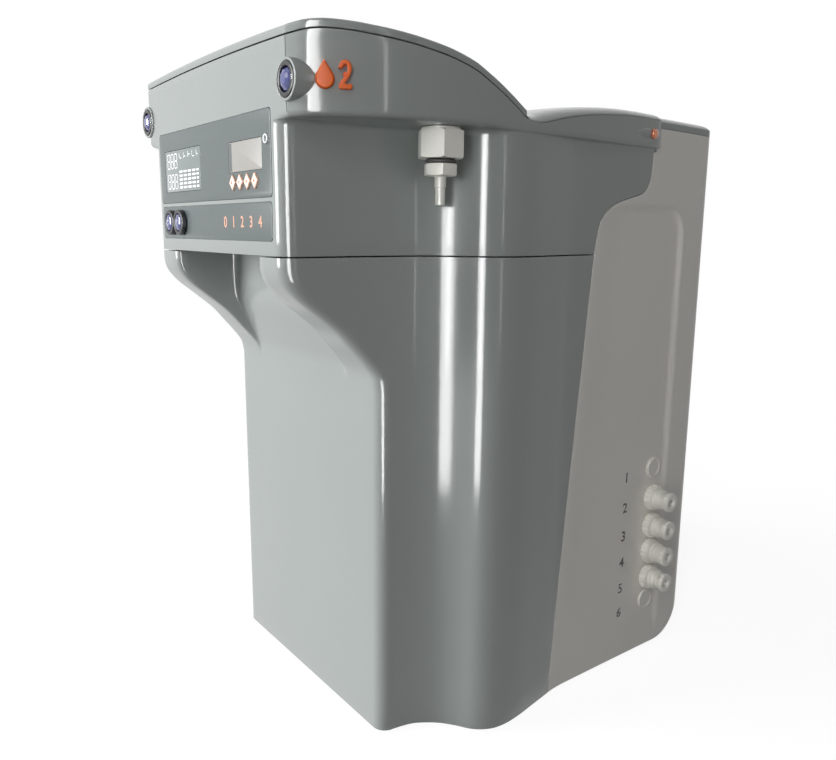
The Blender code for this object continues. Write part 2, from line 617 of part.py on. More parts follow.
def grid_shell(outer, inner):
    """Closed body between two grids of points with the same rows and columns."""
    rows, columns = len(outer), len(outer[0])
    points = [p for row in outer for p in row] + [p for row in inner for p in row]
    half = rows * columns

    def at(layer, j, i):
        return layer * half + j * columns + i

    faces = []
    for j in range(rows - 1):
        for i in range(columns - 1):
            faces.append((at(0, j, i), at(0, j, i + 1), at(0, j + 1, i + 1), at(0, j + 1, i)))
            faces.append((at(1, j, i), at(1, j + 1, i), at(1, j + 1, i + 1), at(1, j, i + 1)))
    for i in range(columns - 1):
        for j in (0, rows - 1):
            faces.append((at(0, j, i), at(1, j, i), at(1, j, i + 1), at(0, j, i + 1)))
    for j in range(rows - 1):
        for i in (0, columns - 1):
            faces.append((at(0, j, i), at(0, j + 1, i), at(1, j + 1, i), at(1, j, i)))
    return Solid().add(points, faces)


def prism(outline, low, high, axis="z"):
    """Outline extruded along an axis; its points give the other two coordinates in order."""
    def place(a, b, c):
        return {"x": (c, a, b), "y": (a, c, b), "z": (a, b, c)}[axis]

    count = len(outline)
    points = [place(a, b, low) for a, b in outline] + [place(a, b, high) for a, b in outline]
    faces = [tuple(range(count)), tuple(range(count, 2 * count))]
    for k in range(count):
        n = (k + 1) % count
        faces.append((k, n, count + n, count + k))
    return Solid().add(points, faces)


def block(low, high):
    """Box between two corners."""
    (x0, y0, z0), (x1, y1, z1) = low, high
    return prism([(x0, y0), (x1, y0), (x1, y1), (x0, y1)], z0, z1)


def turned(profile, sides, centre=(0, 0, 0), direction=(0, 0, 1), start_angle=0.0):
    """Profile of (radius, height) points turned about a direction through a centre.

    A profile that starts and ends on the axis is a solid piece. Any other is a ring.
    """
    points, rings, faces = [], [], []
    for radius, height in profile:
        if radius == 0:
            rings.append([len(points)])
            points.append(Vector((0, 0, height)))
            continue
        rings.append(list(range(len(points), len(points) + sides)))
        for k in range(sides):
            angle = start_angle + 2 * pi * k / sides
            points.append(Vector((radius * cos(angle), radius * sin(angle), height)))
    closed = profile[0][0] != 0
    pairs = list(zip(rings, rings[1:])) + ([(rings[-1], rings[0])] if closed else [])
    for a, b in pairs:
        for k in range(sides):
            n = (k + 1) % sides
            if len(a) == 1:
                faces.append((a[0], b[k], b[n]))
            elif len(b) == 1:
                faces.append((a[k], a[n], b[0]))
            else:
                faces.append((a[k], a[n], b[n], b[k]))
    turn = Vector((0, 0, 1)).rotation_difference(Vector(direction).normalized()).to_matrix().to_4x4()
    return Solid().add(points, faces).moved(Matrix.Translation(centre) @ turn)


def rod(radius, low, high, centre, direction, sides=SIDES):
    """Plain cylinder between two distances along a direction from a centre."""
    return turned([(0, low), (radius, low), (radius, high), (0, high)], sides, centre, direction)


def rounded_rectangle(x0, z0, x1, z1, radius):
    """Outline of a rectangle with round corners."""
    outline = []
    corners = ((x1 - radius, z1 - radius), (x0 + radius, z1 - radius),
               (x0 + radius, z0 + radius), (x1 - radius, z0 + radius))
    for quarter, (cx, cz) in enumerate(corners):
        for k in range(ARC_STEPS + 1):
            angle = pi / 2 * (quarter + k / ARC_STEPS)
            outline.append((cx + radius * cos(angle), cz + radius * sin(angle)))
    return outline


# Objects

def finish_material(name, finish):
    """Material of its own for one piece."""
    colour, roughness, metallic = FINISHES[finish]
    material = bpy.data.materials.new(name + "_finish")
    material.use_nodes = True
    shader = material.node_tree.nodes["Principled BSDF"]
    shader.inputs["Base Color"].default_value = (*colour, 1)
    shader.inputs["Roughness"].default_value = roughness
    shader.inputs["Metallic"].default_value = metallic
    return material


def make(name, solid, finish=None, origin=(0, 0, 0)):
    """Object with its origin at a place of its own, carried by the bench frame."""
    mesh = bpy.data.meshes.new(name)
    shift = Vector(origin)
    mesh.from_pydata([p - shift for p in solid.points], [], solid.faces)
    shape = bmesh.new()
    shape.from_mesh(mesh)
    bmesh.ops.remove_doubles(shape, verts=shape.verts, dist=SAME_PLACE)
    bmesh.ops.recalc_face_normals(shape, faces=shape.faces)
    shape.to_mesh(mesh)
    shape.free()
    mesh.shade_smooth()
    mesh.set_sharp_from_angle(angle=SMOOTH_ANGLE)
    piece = bpy.data.objects.new(name, mesh)
    piece.parent = bench_frame
    piece.location = shift
    bpy.context.collection.objects.link(piece)
    if finish:
        mesh.materials.append(finish_material(name, finish))
    else:
        piece.hide_render = True
        piece.display_type = "WIRE"
    return piece


def combine(piece, operation, *solids):
    """Add solids to a piece one after the other, or cut them out."""
    for solid in solids:
        modifier = piece.modifiers.new(operation.lower(), "BOOLEAN")
        modifier.operation = operation
        modifier.solver = "EXACT"
        modifier.object = make(piece.name + "_" + operation.lower(), solid)


# Lower housing

def lower_row(z):
    """Outline of the lower housing at a height, from its left rear edge to its right one."""
    fall = (SEAM_HEIGHT - z) / FLARE_HEIGHT
    front = FRONT_SETBACK * smooth_value(HORN_FRONT_SHARES, fall)
    back = max(front, FRONT_SETBACK * smooth_value(CHANNEL_BACK_SHARES, fall))
    step_start = HORN_EDGE - HORN_EDGE_WIDTH / 2
    half = [(0, back), (step_start / 2, back)]
    half += [(step_start + HORN_EDGE_WIDTH * across, back + (front - back) * rise)
             for across, rise in HORN_STEP_SHARES]
    corner = front_corner(front)
    half += corner
    knots = [share * BODY_DEPTH for share, _ in SIDE_PLAN_SHARES if share * BODY_DEPTH > FLARE_START]
    start, end = corner[-1][1], rear_edge(z)
    places = [start + (FLARE_START - start) * k / 3 for k in (1, 2, 3)] + knots
    places = [min(y, end - PANEL_GAP * (len(places) - k)) for k, y in enumerate(places)] + [end]
    return mirrored(half + [(side_x(y), y) for y in places])


def lower_housing():
    heights = [0] + [SEAM_HEIGHT - FLARE_HEIGHT * share for share, _ in reversed(HORN_FRONT_SHARES[1:])]
    heights.append(SEAM_HEIGHT - SEAM_GAP / 2)
    outer, inner = [], []
    for z in heights:
        row = lower_row(z)
        outer.append([Vector((x, y, z)) for x, y in row])
        inner.append([Vector((x, y, z)) for x, y in inset(row, [WALL] * len(row))])
    make("lower_housing", grid_shell(outer, inner), "grey_shell")


# Head

def head_columns():
    """Right half of the head's columns: points on the wall and on the rim above each."""
    corner = front_corner(0)
    flat = [(corner[0][0] * k / FRONT_COLUMNS, 0) for k in range(FRONT_COLUMNS)]
    wall = flat + corner
    rim = flat + [corner[0]]
    ledge_end = FASCIA_HALF_WIDTH - FASCIA_EDGE_RADIUS
    for k in range(1, ARC_STEPS):
        share = k / (ARC_STEPS - 1)
        rim.append((corner[0][0] + (ledge_end - corner[0][0]) * share, 0))
    rim.append((FASCIA_HALF_WIDTH, FASCIA_EDGE_RADIUS / 2))
    for wall_share, rim_share in HEAD_SIDE_SHARES:
        y = rim_share * RIM_LENGTH
        rim.append((rim_x(y), y))
        if wall_share:
            y = wall_share * BODY_DEPTH
        wall.append((side_x(y), y))
    wall.append((side_x(RIM_LENGTH - WALL), RIM_LENGTH - WALL))
    rim.append((rim_x(RIM_LENGTH), RIM_LENGTH))
    return mirrored(wall), mirrored(rim)


def head_overhang(wall, rim):
    """How far the rim stands out beyond one wall point: sideways, or slantwise at the corner."""
    (x, y), (rim_point_x, rim_point_y) = wall, rim
    if y > FRONT_CORNER_RADIUS:
        return rim_x(y) - abs(x)
    return hypot(rim_point_x - x, rim_point_y - y)


def head_shell():
    wall, rim = head_columns()
    overhang = [head_overhang(a, b) for a, b in zip(wall, rim)]
    fillet = [min(CEILING_FILLET, FILLET_SHARE * gap) for gap in overhang]
    rounding = [min(RIM_EDGE_RADIUS, RIM_ROUND_SHARE * gap) for gap in overhang]
    low = SEAM_HEIGHT + SEAM_GAP / 2
    ceiling = RIM_BASE_HEIGHT - CEILING_SLOPE
    fillet_start = ceiling - CEILING_FILLET
    (out_a, up_a), (out_b, up_b) = CEILING_FILLET_SHARES

    def layer(outline, distances, heights):
        moved = inset(outline, distances)
        return [Vector((x, y, z)) for (x, y), z in zip(moved, heights)]

    def level(z):
        return [z] * len(wall)

    def rows(depth, lift):
        return [
            layer(wall, [depth] * len(wall), level(low)),
            layer(wall, [depth] * len(wall), level(fillet_start + lift / 2)),
            layer(wall, [depth - out_a * f for f in fillet],
                  level(fillet_start + up_a * CEILING_FILLET + lift)),
            layer(wall, [depth - out_b * f for f in fillet],
                  level(fillet_start + up_b * CEILING_FILLET + lift)),
            layer(rim, [depth + r for r in rounding], level(RIM_BASE_HEIGHT + lift)),
            layer(rim, [depth] * len(rim), level(RIM_BASE_HEIGHT + RIM_EDGE_RADIUS + lift / 3)),
            layer(rim, [depth] * len(rim), [rim_top(x, y) for x, y in rim]),
        ]

    return grid_shell(rows(0, 0), rows(WALL, WALL))


def boundary_line():
    """Curved edge of the head's wall, from the seam up to the rim."""
    rise = BOUNDARY_TOP - SEAM_HEIGHT
    return [(rear_edge(SEAM_HEIGHT + share * rise), SEAM_HEIGHT + share * rise)
            for share in BOUNDARY_ROW_SHARES]


def boss_place(side):
    return (side * BOSS_X, -BOSS_PROUD, BOSS_HEIGHT)


def side_lamp_place(side):
    return (side * rim_x(SIDE_LAMP_SETBACK), SIDE_LAMP_SETBACK, SIDE_LAMP_HEIGHT)


def key_outline(x, clearance):
    """Diamond of one key, grown by a clearance."""
    wide, tall = KEY_HALF_WIDTH + clearance, KEY_HALF_HEIGHT + clearance
    return [(x - wide, KEY_HEIGHT_POSITION), (x, KEY_HEIGHT_POSITION - tall),
            (x + wide, KEY_HEIGHT_POSITION), (x, KEY_HEIGHT_POSITION + tall)]


def key_places():
    return [FIRST_KEY_X + KEY_PITCH * k for k in range(KEY_COUNT)]


def upper_housing():
    housing = make("upper_housing", head_shell(), "grey_shell")
    bosses = Solid()
    for side in (-1, 1):
        bosses.join(rod(BOSS_RADIUS, 0, BOSS_LENGTH, boss_place(side), (0, 1, 0), BOSS_SIDES))
    combine(housing, "UNION", bosses, head_floor())
    cuts = Solid()
    for side in (-1, 1):
        cuts.join(rod(BOSS_RADIUS - BOSS_WALL, -OVERRUN, BOSS_LENGTH + OVERRUN, boss_place(side),
                      (0, 1, 0), BOSS_SIDES))
        cuts.join(rod(NOZZLE_SHANK_RADIUS + FIT, -WALL, 2 * WALL,
                      (side * NOZZLE_X, NOZZLE_SETBACK, RIM_BASE_HEIGHT), (0, 0, 1), SMALL_SIDES))
    # Pockets for the display panel and the button strip
    for half, base, top in ((PANEL_HALF_WIDTH, PANEL_BASE, PANEL_TOP),
                            (STRIP_HALF_WIDTH, STRIP_BASE, STRIP_TOP)):
        outline = rounded_rectangle(-half - FIT, base - FIT, half + FIT, top + FIT, PANEL_CORNER)
        cuts.join(prism(outline, -OVERRUN, POCKET_DEPTH, "y"))
    for side in (-1, 1):
        cuts.join(rod(SIDE_LAMP_STEM + FIT, -2 * WALL, WALL, side_lamp_place(side), (side, 0, 0),
                      SMALL_SIDES))
        for setback in mark_places():
            cuts.join(rod(PEG_RADIUS + FIT, -2 * WALL, WALL, (0, MARK_HEIGHT / 2, 0), (0, 0, 1),
                          SMALL_SIDES).moved(rim_side_frame(side, setback)))
    # White housing's place behind the curved boundary
    boundary = [(REAR_EDGE_AT_SEAM, SEAM_HEIGHT - OVERRUN)] + boundary_line()
    boundary += [(BODY_DEPTH, BOUNDARY_TOP), (BODY_DEPTH, SEAM_HEIGHT - OVERRUN)]
    reach = BULGE_HALF_WIDTH + WALL
    cuts.join(prism(boundary, -reach, reach, "x"))
    combine(housing, "DIFFERENCE", cuts)
    # Way through the pockets' floors to the display modules, the lamp and the buttons
    openings = block((METER_LEFT - WINDOW_MARGIN, 0, KEY_HEIGHT_POSITION - KEY_HALF_HEIGHT - FIT),
                     (LCD_LEFT + LCD_WIDTH + WINDOW_MARGIN, WALL + OVERRUN,
                      METER_BASE + METER_HEIGHT + WINDOW_MARGIN))
    openings.join(rod(STATUS_LAMP_RADIUS + FIT, 0, WALL + OVERRUN,
                      (STATUS_LAMP_X, 0, STATUS_LAMP_Z), (0, 1, 0), SMALL_SIDES))
    for x in PANEL_BUTTON_PLACES.values():
        openings.join(rod(PANEL_BEZEL_NECK + FIT, 0, WALL + OVERRUN,
                          (x, 0, PANEL_BUTTON_HEIGHT), (0, 1, 0)))
    combine(housing, "DIFFERENCE", openings)


def head_floor():
    """Plate that closes the head above the channel between the horns."""
    corner = front_corner(0)
    places = [corner[-1][1] + (HEAD_FLOOR_DEPTH - corner[-1][1]) * k / ARC_STEPS
              for k in range(1, ARC_STEPS + 1)]
    whole = mirrored([(0, 0)] + corner + [(side_x(y), y) for y in places])
    outline = inset(whole, [WALL / 2] * len(whole))
    low = SEAM_HEIGHT + SEAM_GAP / 2
    return prism(outline, low + FIT, low + FIT + HEAD_FLOOR_THICKNESS)


# Rear housing and cover

def recess_depth(y, z):
    """How far the side's shallow recess lies below the side wall."""
    over_y = y - (SIDE_RECESS_END - SIDE_RECESS_RADIUS)
    over_z = z - (SIDE_RECESS_TOP - SIDE_RECESS_RADIUS)
    distance = hypot(max(over_y, 0), max(over_z, 0)) + min(max(over_y, over_z), 0)
    inside = (SIDE_RECESS_RADIUS - distance) / SIDE_RECESS_SOFTNESS
    return SIDE_RECESS_DEPTH * smooth_step(inside) * smooth_step(z / SIDE_RECESS_LIFT)


# Columns of the rear housing's side: shares of its part before and behind the ports
PORT_FACE_SHARES = (0.0, 0.15, 0.40, 1.0)
RECESS_COLUMN_SHARES = (0.22, 0.345, 0.43, 0.51)


def rear_row(front, z):
    """Outline of the rear housing at a height, from its left front edge to its right one."""
    below = max(REAR_BASE_RADIUS - z, 0)
    rear = BODY_DEPTH - REAR_BASE_RADIUS + sqrt(REAR_BASE_RADIUS ** 2 - below ** 2)
    corner_start = rear - REAR_CORNER_RADIUS
    ports = SIDE_RECESS_END - SIDE_RECESS_RADIUS
    places = [front + (ports - front) * share for share in PORT_FACE_SHARES]
    leads = [smooth_step(share / RECESS_LEAD_SHARE) for share in PORT_FACE_SHARES]
    places += [ports + (corner_start - ports) * share for share in RECESS_COLUMN_SHARES]
    leads += [1.0] * len(RECESS_COLUMN_SHARES)
    half = [(side_x(y) - lead * recess_depth(y, z), y) for y, lead in zip(places, leads)]
    centre = BODY_HALF_WIDTH - REAR_CORNER_RADIUS
    for k in range(ARC_STEPS + 1):
        angle = pi / 2 * k / ARC_STEPS
        half.append((centre + REAR_CORNER_RADIUS * cos(angle),
                     corner_start + REAR_CORNER_RADIUS * sin(angle)))
    half.append((centre / 2, rear))
    half.append((0, rear))
    return [(-x, y) for x, y in half] + [(x, y) for x, y in reversed(half[:-1])]


# Rows of the rear housing's base, as shares of its rounding's radius
BASE_ROW_SHARES = (0.0, 0.08, 0.3, 1.0)


def rear_top_edge(y):
    return rim_top(RIM_HALF_WIDTH, y) - COVER_BAND - FIT


def rear_housing():
    rows = [(rear_edge(z) + PANEL_GAP, z) for z in (REAR_BASE_RADIUS * share for share in BASE_ROW_SHARES)]
    line = boundary_line()
    rows += inset(line, [-PANEL_GAP] * len(line))
    rows[-1] = (rows[-1][0], BOUNDARY_TOP - PANEL_GAP)
    outer, inner = [], []
    for front, z in rows:
        row = rear_row(front, z)
        outer.append([Vector((x, y, z)) for x, y in row])
        inner.append([Vector((x, y, z)) for x, y in inset(row, [-WALL] * len(row))])
    # Above the boundary the white wall starts behind the rim
    row = rear_row(RIM_LENGTH + PANEL_GAP, BOUNDARY_TOP)
    thin = inset(row, [-WALL] * len(row))
    outer.append([Vector((x, y, BOUNDARY_TOP)) for x, y in row])
    inner.append([Vector((x, y, BOUNDARY_TOP)) for x, y in thin])
    outer.append([Vector((x, y, rear_top_edge(y))) for x, y in row])
    inner.append([Vector((x, y, rear_top_edge(y))) for x, y in thin])
    housing = make("rear_housing", grid_shell(outer, inner), "white_shell")
    cuts = Solid()
    surface = BODY_HALF_WIDTH - SIDE_RECESS_DEPTH
    for z in PORT_HEIGHTS:
        cuts.join(rod(PORT_SHANK_RADIUS + FIT, -2 * WALL, 2 * WALL, (surface, PORT_SETBACK, z),
                      (1, 0, 0), SMALL_SIDES))
    # Two moulded discs close the places of ports that aren't fitted
    blanks = Solid()
    for z in BLANK_HEIGHTS:
        profile = [(0, -OVERRUN), (BLANK_RADIUS, -OVERRUN), (BLANK_RADIUS, BLANK_PROUD / 2),
                   (BLANK_RADIUS - BLANK_PROUD / 2, BLANK_PROUD), (0, BLANK_PROUD)]
        blanks.join(turned(profile, SIDES, (surface, PORT_SETBACK, z), (1, 0, 0)))
    combine(housing, "UNION", blanks)
    wide, tall = INLET_BODY_WIDTH / 2 + FIT, INLET_BODY_HEIGHT / 2 + FIT
    cuts.join(block((INLET_X - wide, BODY_DEPTH - 2 * WALL, INLET_HEIGHT - tall),
                    (INLET_X + wide, BODY_DEPTH + OVERRUN, INLET_HEIGHT + tall)))
    combine(housing, "DIFFERENCE", cuts)


# Columns of the cover across its width: distances from the edge as shares of its half width
COVER_COLUMN_SHARES = (0.0, 0.014, 0.035, 0.07, 0.12, 0.25, 0.55, 1.0)
# Rows of the cover behind the rear end of the rim, as shares of that stretch
COVER_REAR_SHARES = (0.0, 0.35, 0.70)


def rim_columns():
    """Setbacks of the head's columns along the sides of its rim."""
    return [share * RIM_LENGTH for _, share in HEAD_SIDE_SHARES] + [RIM_LENGTH]


def rim_edge(y):
    """Height of the rim's upper edge where it runs straight from one column to the next."""
    near = max(place for place in rim_columns() if place <= y)
    far = min((place for place in rim_columns() if place > y), default=RIM_LENGTH + COVER_SKIN)
    low, high = rim_top(RIM_HALF_WIDTH, near), rim_top(RIM_HALF_WIDTH, far)
    return low + (high - low) * (y - near) / (far - near)


def cover_rows():
    """Rows of the cover: outer setback and half width, and those of its underside."""
    start = HINGE_SETBACK + COVER_FRONT_GAP
    rows = []
    for y in [start] + [place for place in rim_columns() if start < place < RIM_LENGTH] + [RIM_LENGTH + FIT]:
        half = rim_x(y) - COVER_LIP
        rows.append((y, half, y, half - COVER_SKIN))
    front, bend = RIM_LENGTH + PANEL_GAP, BODY_DEPTH - REAR_CORNER_RADIUS
    for share in COVER_REAR_SHARES:
        y = front + (bend - front) * share
        rows.append((y, BODY_HALF_WIDTH, y, BODY_HALF_WIDTH - COVER_SKIN))
    centre = BODY_HALF_WIDTH - REAR_CORNER_RADIUS
    for k in range(ARC_STEPS + 1):
        angle = pi / 2 * k / ARC_STEPS
        outside, inside = REAR_CORNER_RADIUS, REAR_CORNER_RADIUS - COVER_SKIN
        rows.append((bend + outside * sin(angle), centre + outside * cos(angle),
                     bend + inside * sin(angle), centre + inside * cos(angle)))
    return rows


def cover_top(lip, from_side, from_rear):
    """Height of the domed cover at its distances from its side and its rear."""
    reach = min(from_side, from_rear) / SHOULDER_WIDTH
    return lip + COVER_CROWN * smooth_value(SHOULDER_SHARES, reach)


def rear_top_cover():
    outer, inner = [], []
    for y, half, inner_y, inner_half in cover_rows():
        on_rim = y < RIM_LENGTH + PANEL_GAP
        edge = rim_edge(y) if on_rim else rim_top(RIM_HALF_WIDTH, y)
        low = edge + FIT if on_rim else edge - COVER_BAND
        lip = edge + FIT + COVER_LIP if on_rim else edge
        columns, under = [(half, low)], [(inner_half, low)]
        for share in COVER_COLUMN_SHARES:
            top = cover_top(lip, share * half, BODY_DEPTH - y)
            columns.append((half - share * half, top))
            under.append((inner_half - share * inner_half, max(top - COVER_SKIN, low + FIT)))
        outer.append(across(columns, y))
        inner.append(across(under, inner_y))
    # The rear edge folds down into the band
    low = rim_top(RIM_HALF_WIDTH, BODY_DEPTH) - COVER_BAND
    for grid in (outer, inner):
        grid.append([Vector((p.x, p.y, low)) for p in grid[-1]])
    make("rear_top_cover", grid_shell(outer, inner), "grey_shell")


def across(half_row, y):
    """Row of points from the left edge over the middle to the right edge."""
    left = [Vector((-x, y, z)) for x, z in half_row[:-1]]
    return left + [Vector((x, y, z)) for x, z in reversed(half_row)]


# Lid and hinge

HINGE_HEIGHT = rim_top(RIM_HALF_WIDTH, HINGE_SETBACK) + LID_GAP + HINGE_RISE
HINGE_PLACE = (0, HINGE_SETBACK, HINGE_HEIGHT)
# Rows of the lid behind its rounded front edge, as shares of the rim's length
LID_ROW_SHARES = tuple(share for _, share in HEAD_SIDE_SHARES if share * RIM_LENGTH < HINGE_SETBACK)
LID_COLUMN_SHARES = (0.05, 0.13, 0.28, 0.50, 0.75, 1.0)
EDGE_ARC = sin(pi / 4)


def lid_half_width(y):
    """Half width of the lid, which follows the rim round the fascia's corners."""
    bend = LID_ROW_SHARES[0] * RIM_LENGTH
    if y >= bend:
        return rim_x(y)
    middle = FASCIA_EDGE_RADIUS / 2
    if y < middle:
        return FASCIA_HALF_WIDTH - FASCIA_EDGE_RADIUS * (1 - y / middle)
    return FASCIA_HALF_WIDTH + (rim_x(bend) - FASCIA_HALF_WIDTH) * (y - middle) / (bend - middle)


def lid_low(x, y):
    return rim_top(x, y) + LID_GAP


def lid_top(x, y):
    share = min(abs(x) / lid_half_width(y), 1.0)
    crown = LID_CROWN * smooth_value(LID_CROWN_SHARES, y / HINGE_SETBACK)
    return lid_low(x, y) + LID_THICKNESS + crown * (1 - share * share)


def lid_shell():
    rounding = LID_EDGE_RADIUS * (1 - EDGE_ARC)
    edge = [(0, None), (0, LID_EDGE_RADIUS), (rounding, rounding), (LID_EDGE_RADIUS, 0)]
    length = HINGE_SETBACK + HINGE_TAIL
    rows = edge + [(share * RIM_LENGTH, 0) for share in LID_ROW_SHARES] + [(length, 0), (length, None)]
    outer, inner = [], []
    for y, row_drop in rows:
        half = lid_half_width(y)
        columns = edge + [(share * half, 0) for share in LID_COLUMN_SHARES]
        under_y = LID_BORDER + y * (length - 2 * LID_BORDER) / length
        under_half = lid_half_width(under_y) - LID_BORDER
        outside, underside = [], []
        for from_side, drop in columns:
            x = half - from_side
            under_x = under_half * x / half
            if row_drop is None or drop is None:
                outside.append((x, lid_low(x, y)))
                underside.append((under_x, lid_low(under_x, under_y)))
            else:
                outside.append((x, lid_top(x, y) - max(row_drop, drop)))
                underside.append((under_x, lid_top(under_x, under_y) - LID_SKIN))
        outer.append(across(outside, y))
        inner.append(across(underside, under_y))
    return grid_shell(outer, inner)


def ear_places():
    return (-OUTER_EAR_PLACE, 0, OUTER_EAR_PLACE)


def top_lid():
    lid = make("top_lid", lid_shell(), "grey_shell", HINGE_PLACE)
    gap = EAR_WIDTH / 2 + EAR_NOTCH_MARGIN
    knuckles, notches = Solid(), Solid()
    for start, end in ((gap, OUTER_EAR_PLACE - gap), (gap - OUTER_EAR_PLACE, -gap)):
        knuckles.join(rod(KNUCKLE_RADIUS, start, end, HINGE_PLACE, (1, 0, 0)))
    combine(lid, "UNION", knuckles)
    below = HINGE_HEIGHT - KNUCKLE_RADIUS - EAR_NOTCH_MARGIN
    bore = rod(HINGE_PIN_RADIUS + FIT, -OUTER_EAR_PLACE - gap, OUTER_EAR_PLACE + gap, HINGE_PLACE,
               (1, 0, 0), SMALL_SIDES)
    for x in ear_places():
        notches.join(block((x - gap, HINGE_SETBACK - EAR_NOTCH_DEPTH, below),
                           (x + gap, HINGE_SETBACK + EAR_NOTCH_DEPTH, HINGE_HEIGHT + EAR_RADIUS + FIT)))
    combine(lid, "DIFFERENCE", bore, notches)


def hinge():
    """Rail across the head with three ears, and the pin that the lid turns on."""
    start, end = HINGE_SETBACK - RAIL_LEAD, HINGE_SETBACK - RAIL_LEAD + RAIL_DEPTH
    top = HINGE_HEIGHT - RAIL_DROP
    half = min(side_x(start), side_x(end)) - WALL - FIT
    rail = make("hinge_rail", block((-half, start, top - RAIL_HEIGHT), (half, end, top)), "steel")
    ears = Solid()
    for x in ear_places():
        left, right = x - EAR_WIDTH / 2, x + EAR_WIDTH / 2
        outline = [(HINGE_SETBACK - EAR_RADIUS, top - OVERRUN)]
        outline += [(HINGE_SETBACK - EAR_RADIUS * cos(pi * k / FRONT_SIDES),
                     HINGE_HEIGHT + EAR_RADIUS * sin(pi * k / FRONT_SIDES)) for k in range(FRONT_SIDES + 1)]
        outline.append((HINGE_SETBACK + EAR_RADIUS, top - OVERRUN))
        ears.join(prism(outline, left, right, "x"))
    combine(rail, "UNION", ears)
    end = OUTER_EAR_PLACE + EAR_WIDTH / 2
    combine(rail, "DIFFERENCE", rod(HINGE_PIN_RADIUS + FIT, -end - OVERRUN, end + OVERRUN, HINGE_PLACE,
                                    (1, 0, 0), SMALL_SIDES))
    make("lid_hinge_pin", rod(HINGE_PIN_RADIUS, -end, end, HINGE_PLACE, (1, 0, 0), SMALL_SIDES), "steel")


# Display panel and its parts

def overlay_front():
    """Setback of the front of the panel and the strip, which lie in shallow pockets."""
    return POCKET_DEPTH - FIT - PANEL_THICKNESS


def fascia_overlay(name, half, base, top, holes):
    front = overlay_front()
    outline = rounded_rectangle(-half, base, half, top, PANEL_CORNER)
    overlay = make(name, prism(outline, front, front + PANEL_THICKNESS, "y"), "panel")
    combine(overlay, "DIFFERENCE", holes)


def display_panel():
    front, back = overlay_front() - OVERRUN, POCKET_DEPTH + OVERRUN
    holes = Solid()
    for left, base, width, height in ((METER_LEFT, METER_BASE, METER_WIDTH, METER_HEIGHT),
                                      (LCD_LEFT, LCD_BASE, LCD_WIDTH, LCD_HEIGHT)):
        holes.join(block((left - FIT, front, base - FIT), (left + width + FIT, back, base + height + FIT)))
    for x in key_places():
        holes.join(prism(key_outline(x, KEY_CLEARANCE), front, back, "y"))
    holes.join(rod(STATUS_LAMP_RADIUS + FIT, front, back, (STATUS_LAMP_X, 0, STATUS_LAMP_Z), (0, 1, 0),
                   SMALL_SIDES))
    fascia_overlay("display_panel", PANEL_HALF_WIDTH, PANEL_BASE, PANEL_TOP, holes)


def button_strip():
    holes = Solid()
    for x in PANEL_BUTTON_PLACES.values():
        holes.join(rod(PANEL_BEZEL_NECK + FIT, overlay_front() - OVERRUN, POCKET_DEPTH + OVERRUN,
                       (x, 0, PANEL_BUTTON_HEIGHT), (0, 1, 0)))
    fascia_overlay("button_strip", STRIP_HALF_WIDTH, STRIP_BASE, STRIP_TOP, holes)


def display_windows():
    front = overlay_front() + LENS_RECESS
    for name, left, base, width, height in (
            ("meter_window", METER_LEFT, METER_BASE, METER_WIDTH, METER_HEIGHT),
            ("lcd_window", LCD_LEFT, LCD_BASE, LCD_WIDTH, LCD_HEIGHT)):
        make(name, block((left, front, base), (left + width, front + LENS_THICKNESS, base + height)), "lens")


def menu_keys():
    front, back = overlay_front() - KEY_PROUD, BOARD_SETBACK - KEY_STANDOFF
    for number, x in enumerate(key_places(), start=1):
        make(f"menu_key_{number}", prism(key_outline(x, 0), front, back, "y"), "key",
             (x, front, KEY_HEIGHT_POSITION))


def status_lamp():
    profile = [(0, STATUS_LAMP_LENGTH), (STATUS_LAMP_RADIUS, STATUS_LAMP_LENGTH),
               (STATUS_LAMP_RADIUS, STATUS_LAMP_PROUD / 2), (STATUS_LAMP_RADIUS * EDGE_ARC, 0), (0, 0)]
    place = (STATUS_LAMP_X, overlay_front() - STATUS_LAMP_PROUD, STATUS_LAMP_Z)
    make("status_lamp", turned(profile, SMALL_SIDES, place, (0, 1, 0)), "fitting")


def display_board():
    """Circuit board behind the fascia with the two display modules and four posts."""
    board = block((-BOARD_HALF_WIDTH, BOARD_SETBACK, BOARD_BASE),
                  (BOARD_HALF_WIDTH, BOARD_SETBACK + BOARD_THICKNESS, BOARD_TOP))
    piece = make("display_board", board, "board")
    modules = Solid()
    front = overlay_front() + LENS_RECESS + LENS_THICKNESS + FIT
    overlap = BOARD_SETBACK + BOARD_THICKNESS / 2
    for left, base, width, height in ((METER_LEFT, METER_BASE, METER_WIDTH, METER_HEIGHT),
                                      (LCD_LEFT, LCD_BASE, LCD_WIDTH, LCD_HEIGHT)):
        modules.join(block((left + MODULE_MARGIN, front, base + MODULE_MARGIN),
                           (left + width - MODULE_MARGIN, overlap, base + height - MODULE_MARGIN)))
    for x in (POST_MARGIN - BOARD_HALF_WIDTH, BOARD_HALF_WIDTH - POST_MARGIN):
        for z in (BOARD_BASE + POST_MARGIN, BOARD_TOP - POST_MARGIN):
            modules.join(rod(POST_RADIUS, WALL + FIT, overlap, (x, 0, z), (0, 1, 0), SMALL_SIDES))
    combine(piece, "UNION", modules)


# Push-buttons

def cup_profile(radius, flange, proud, bore, length, chamfer):
    """Profile of a bezel: an open cup with a flange round its mouth, closed at its far end."""
    profile = [(0, length), (radius, length)]
    if flange > radius:
        profile += [(radius, proud), (flange, proud)]
    profile += [(flange, chamfer), (flange - chamfer, 0), (bore, 0), (bore, length - CUP_FLOOR),
                (0, length - CUP_FLOOR)]
    return profile


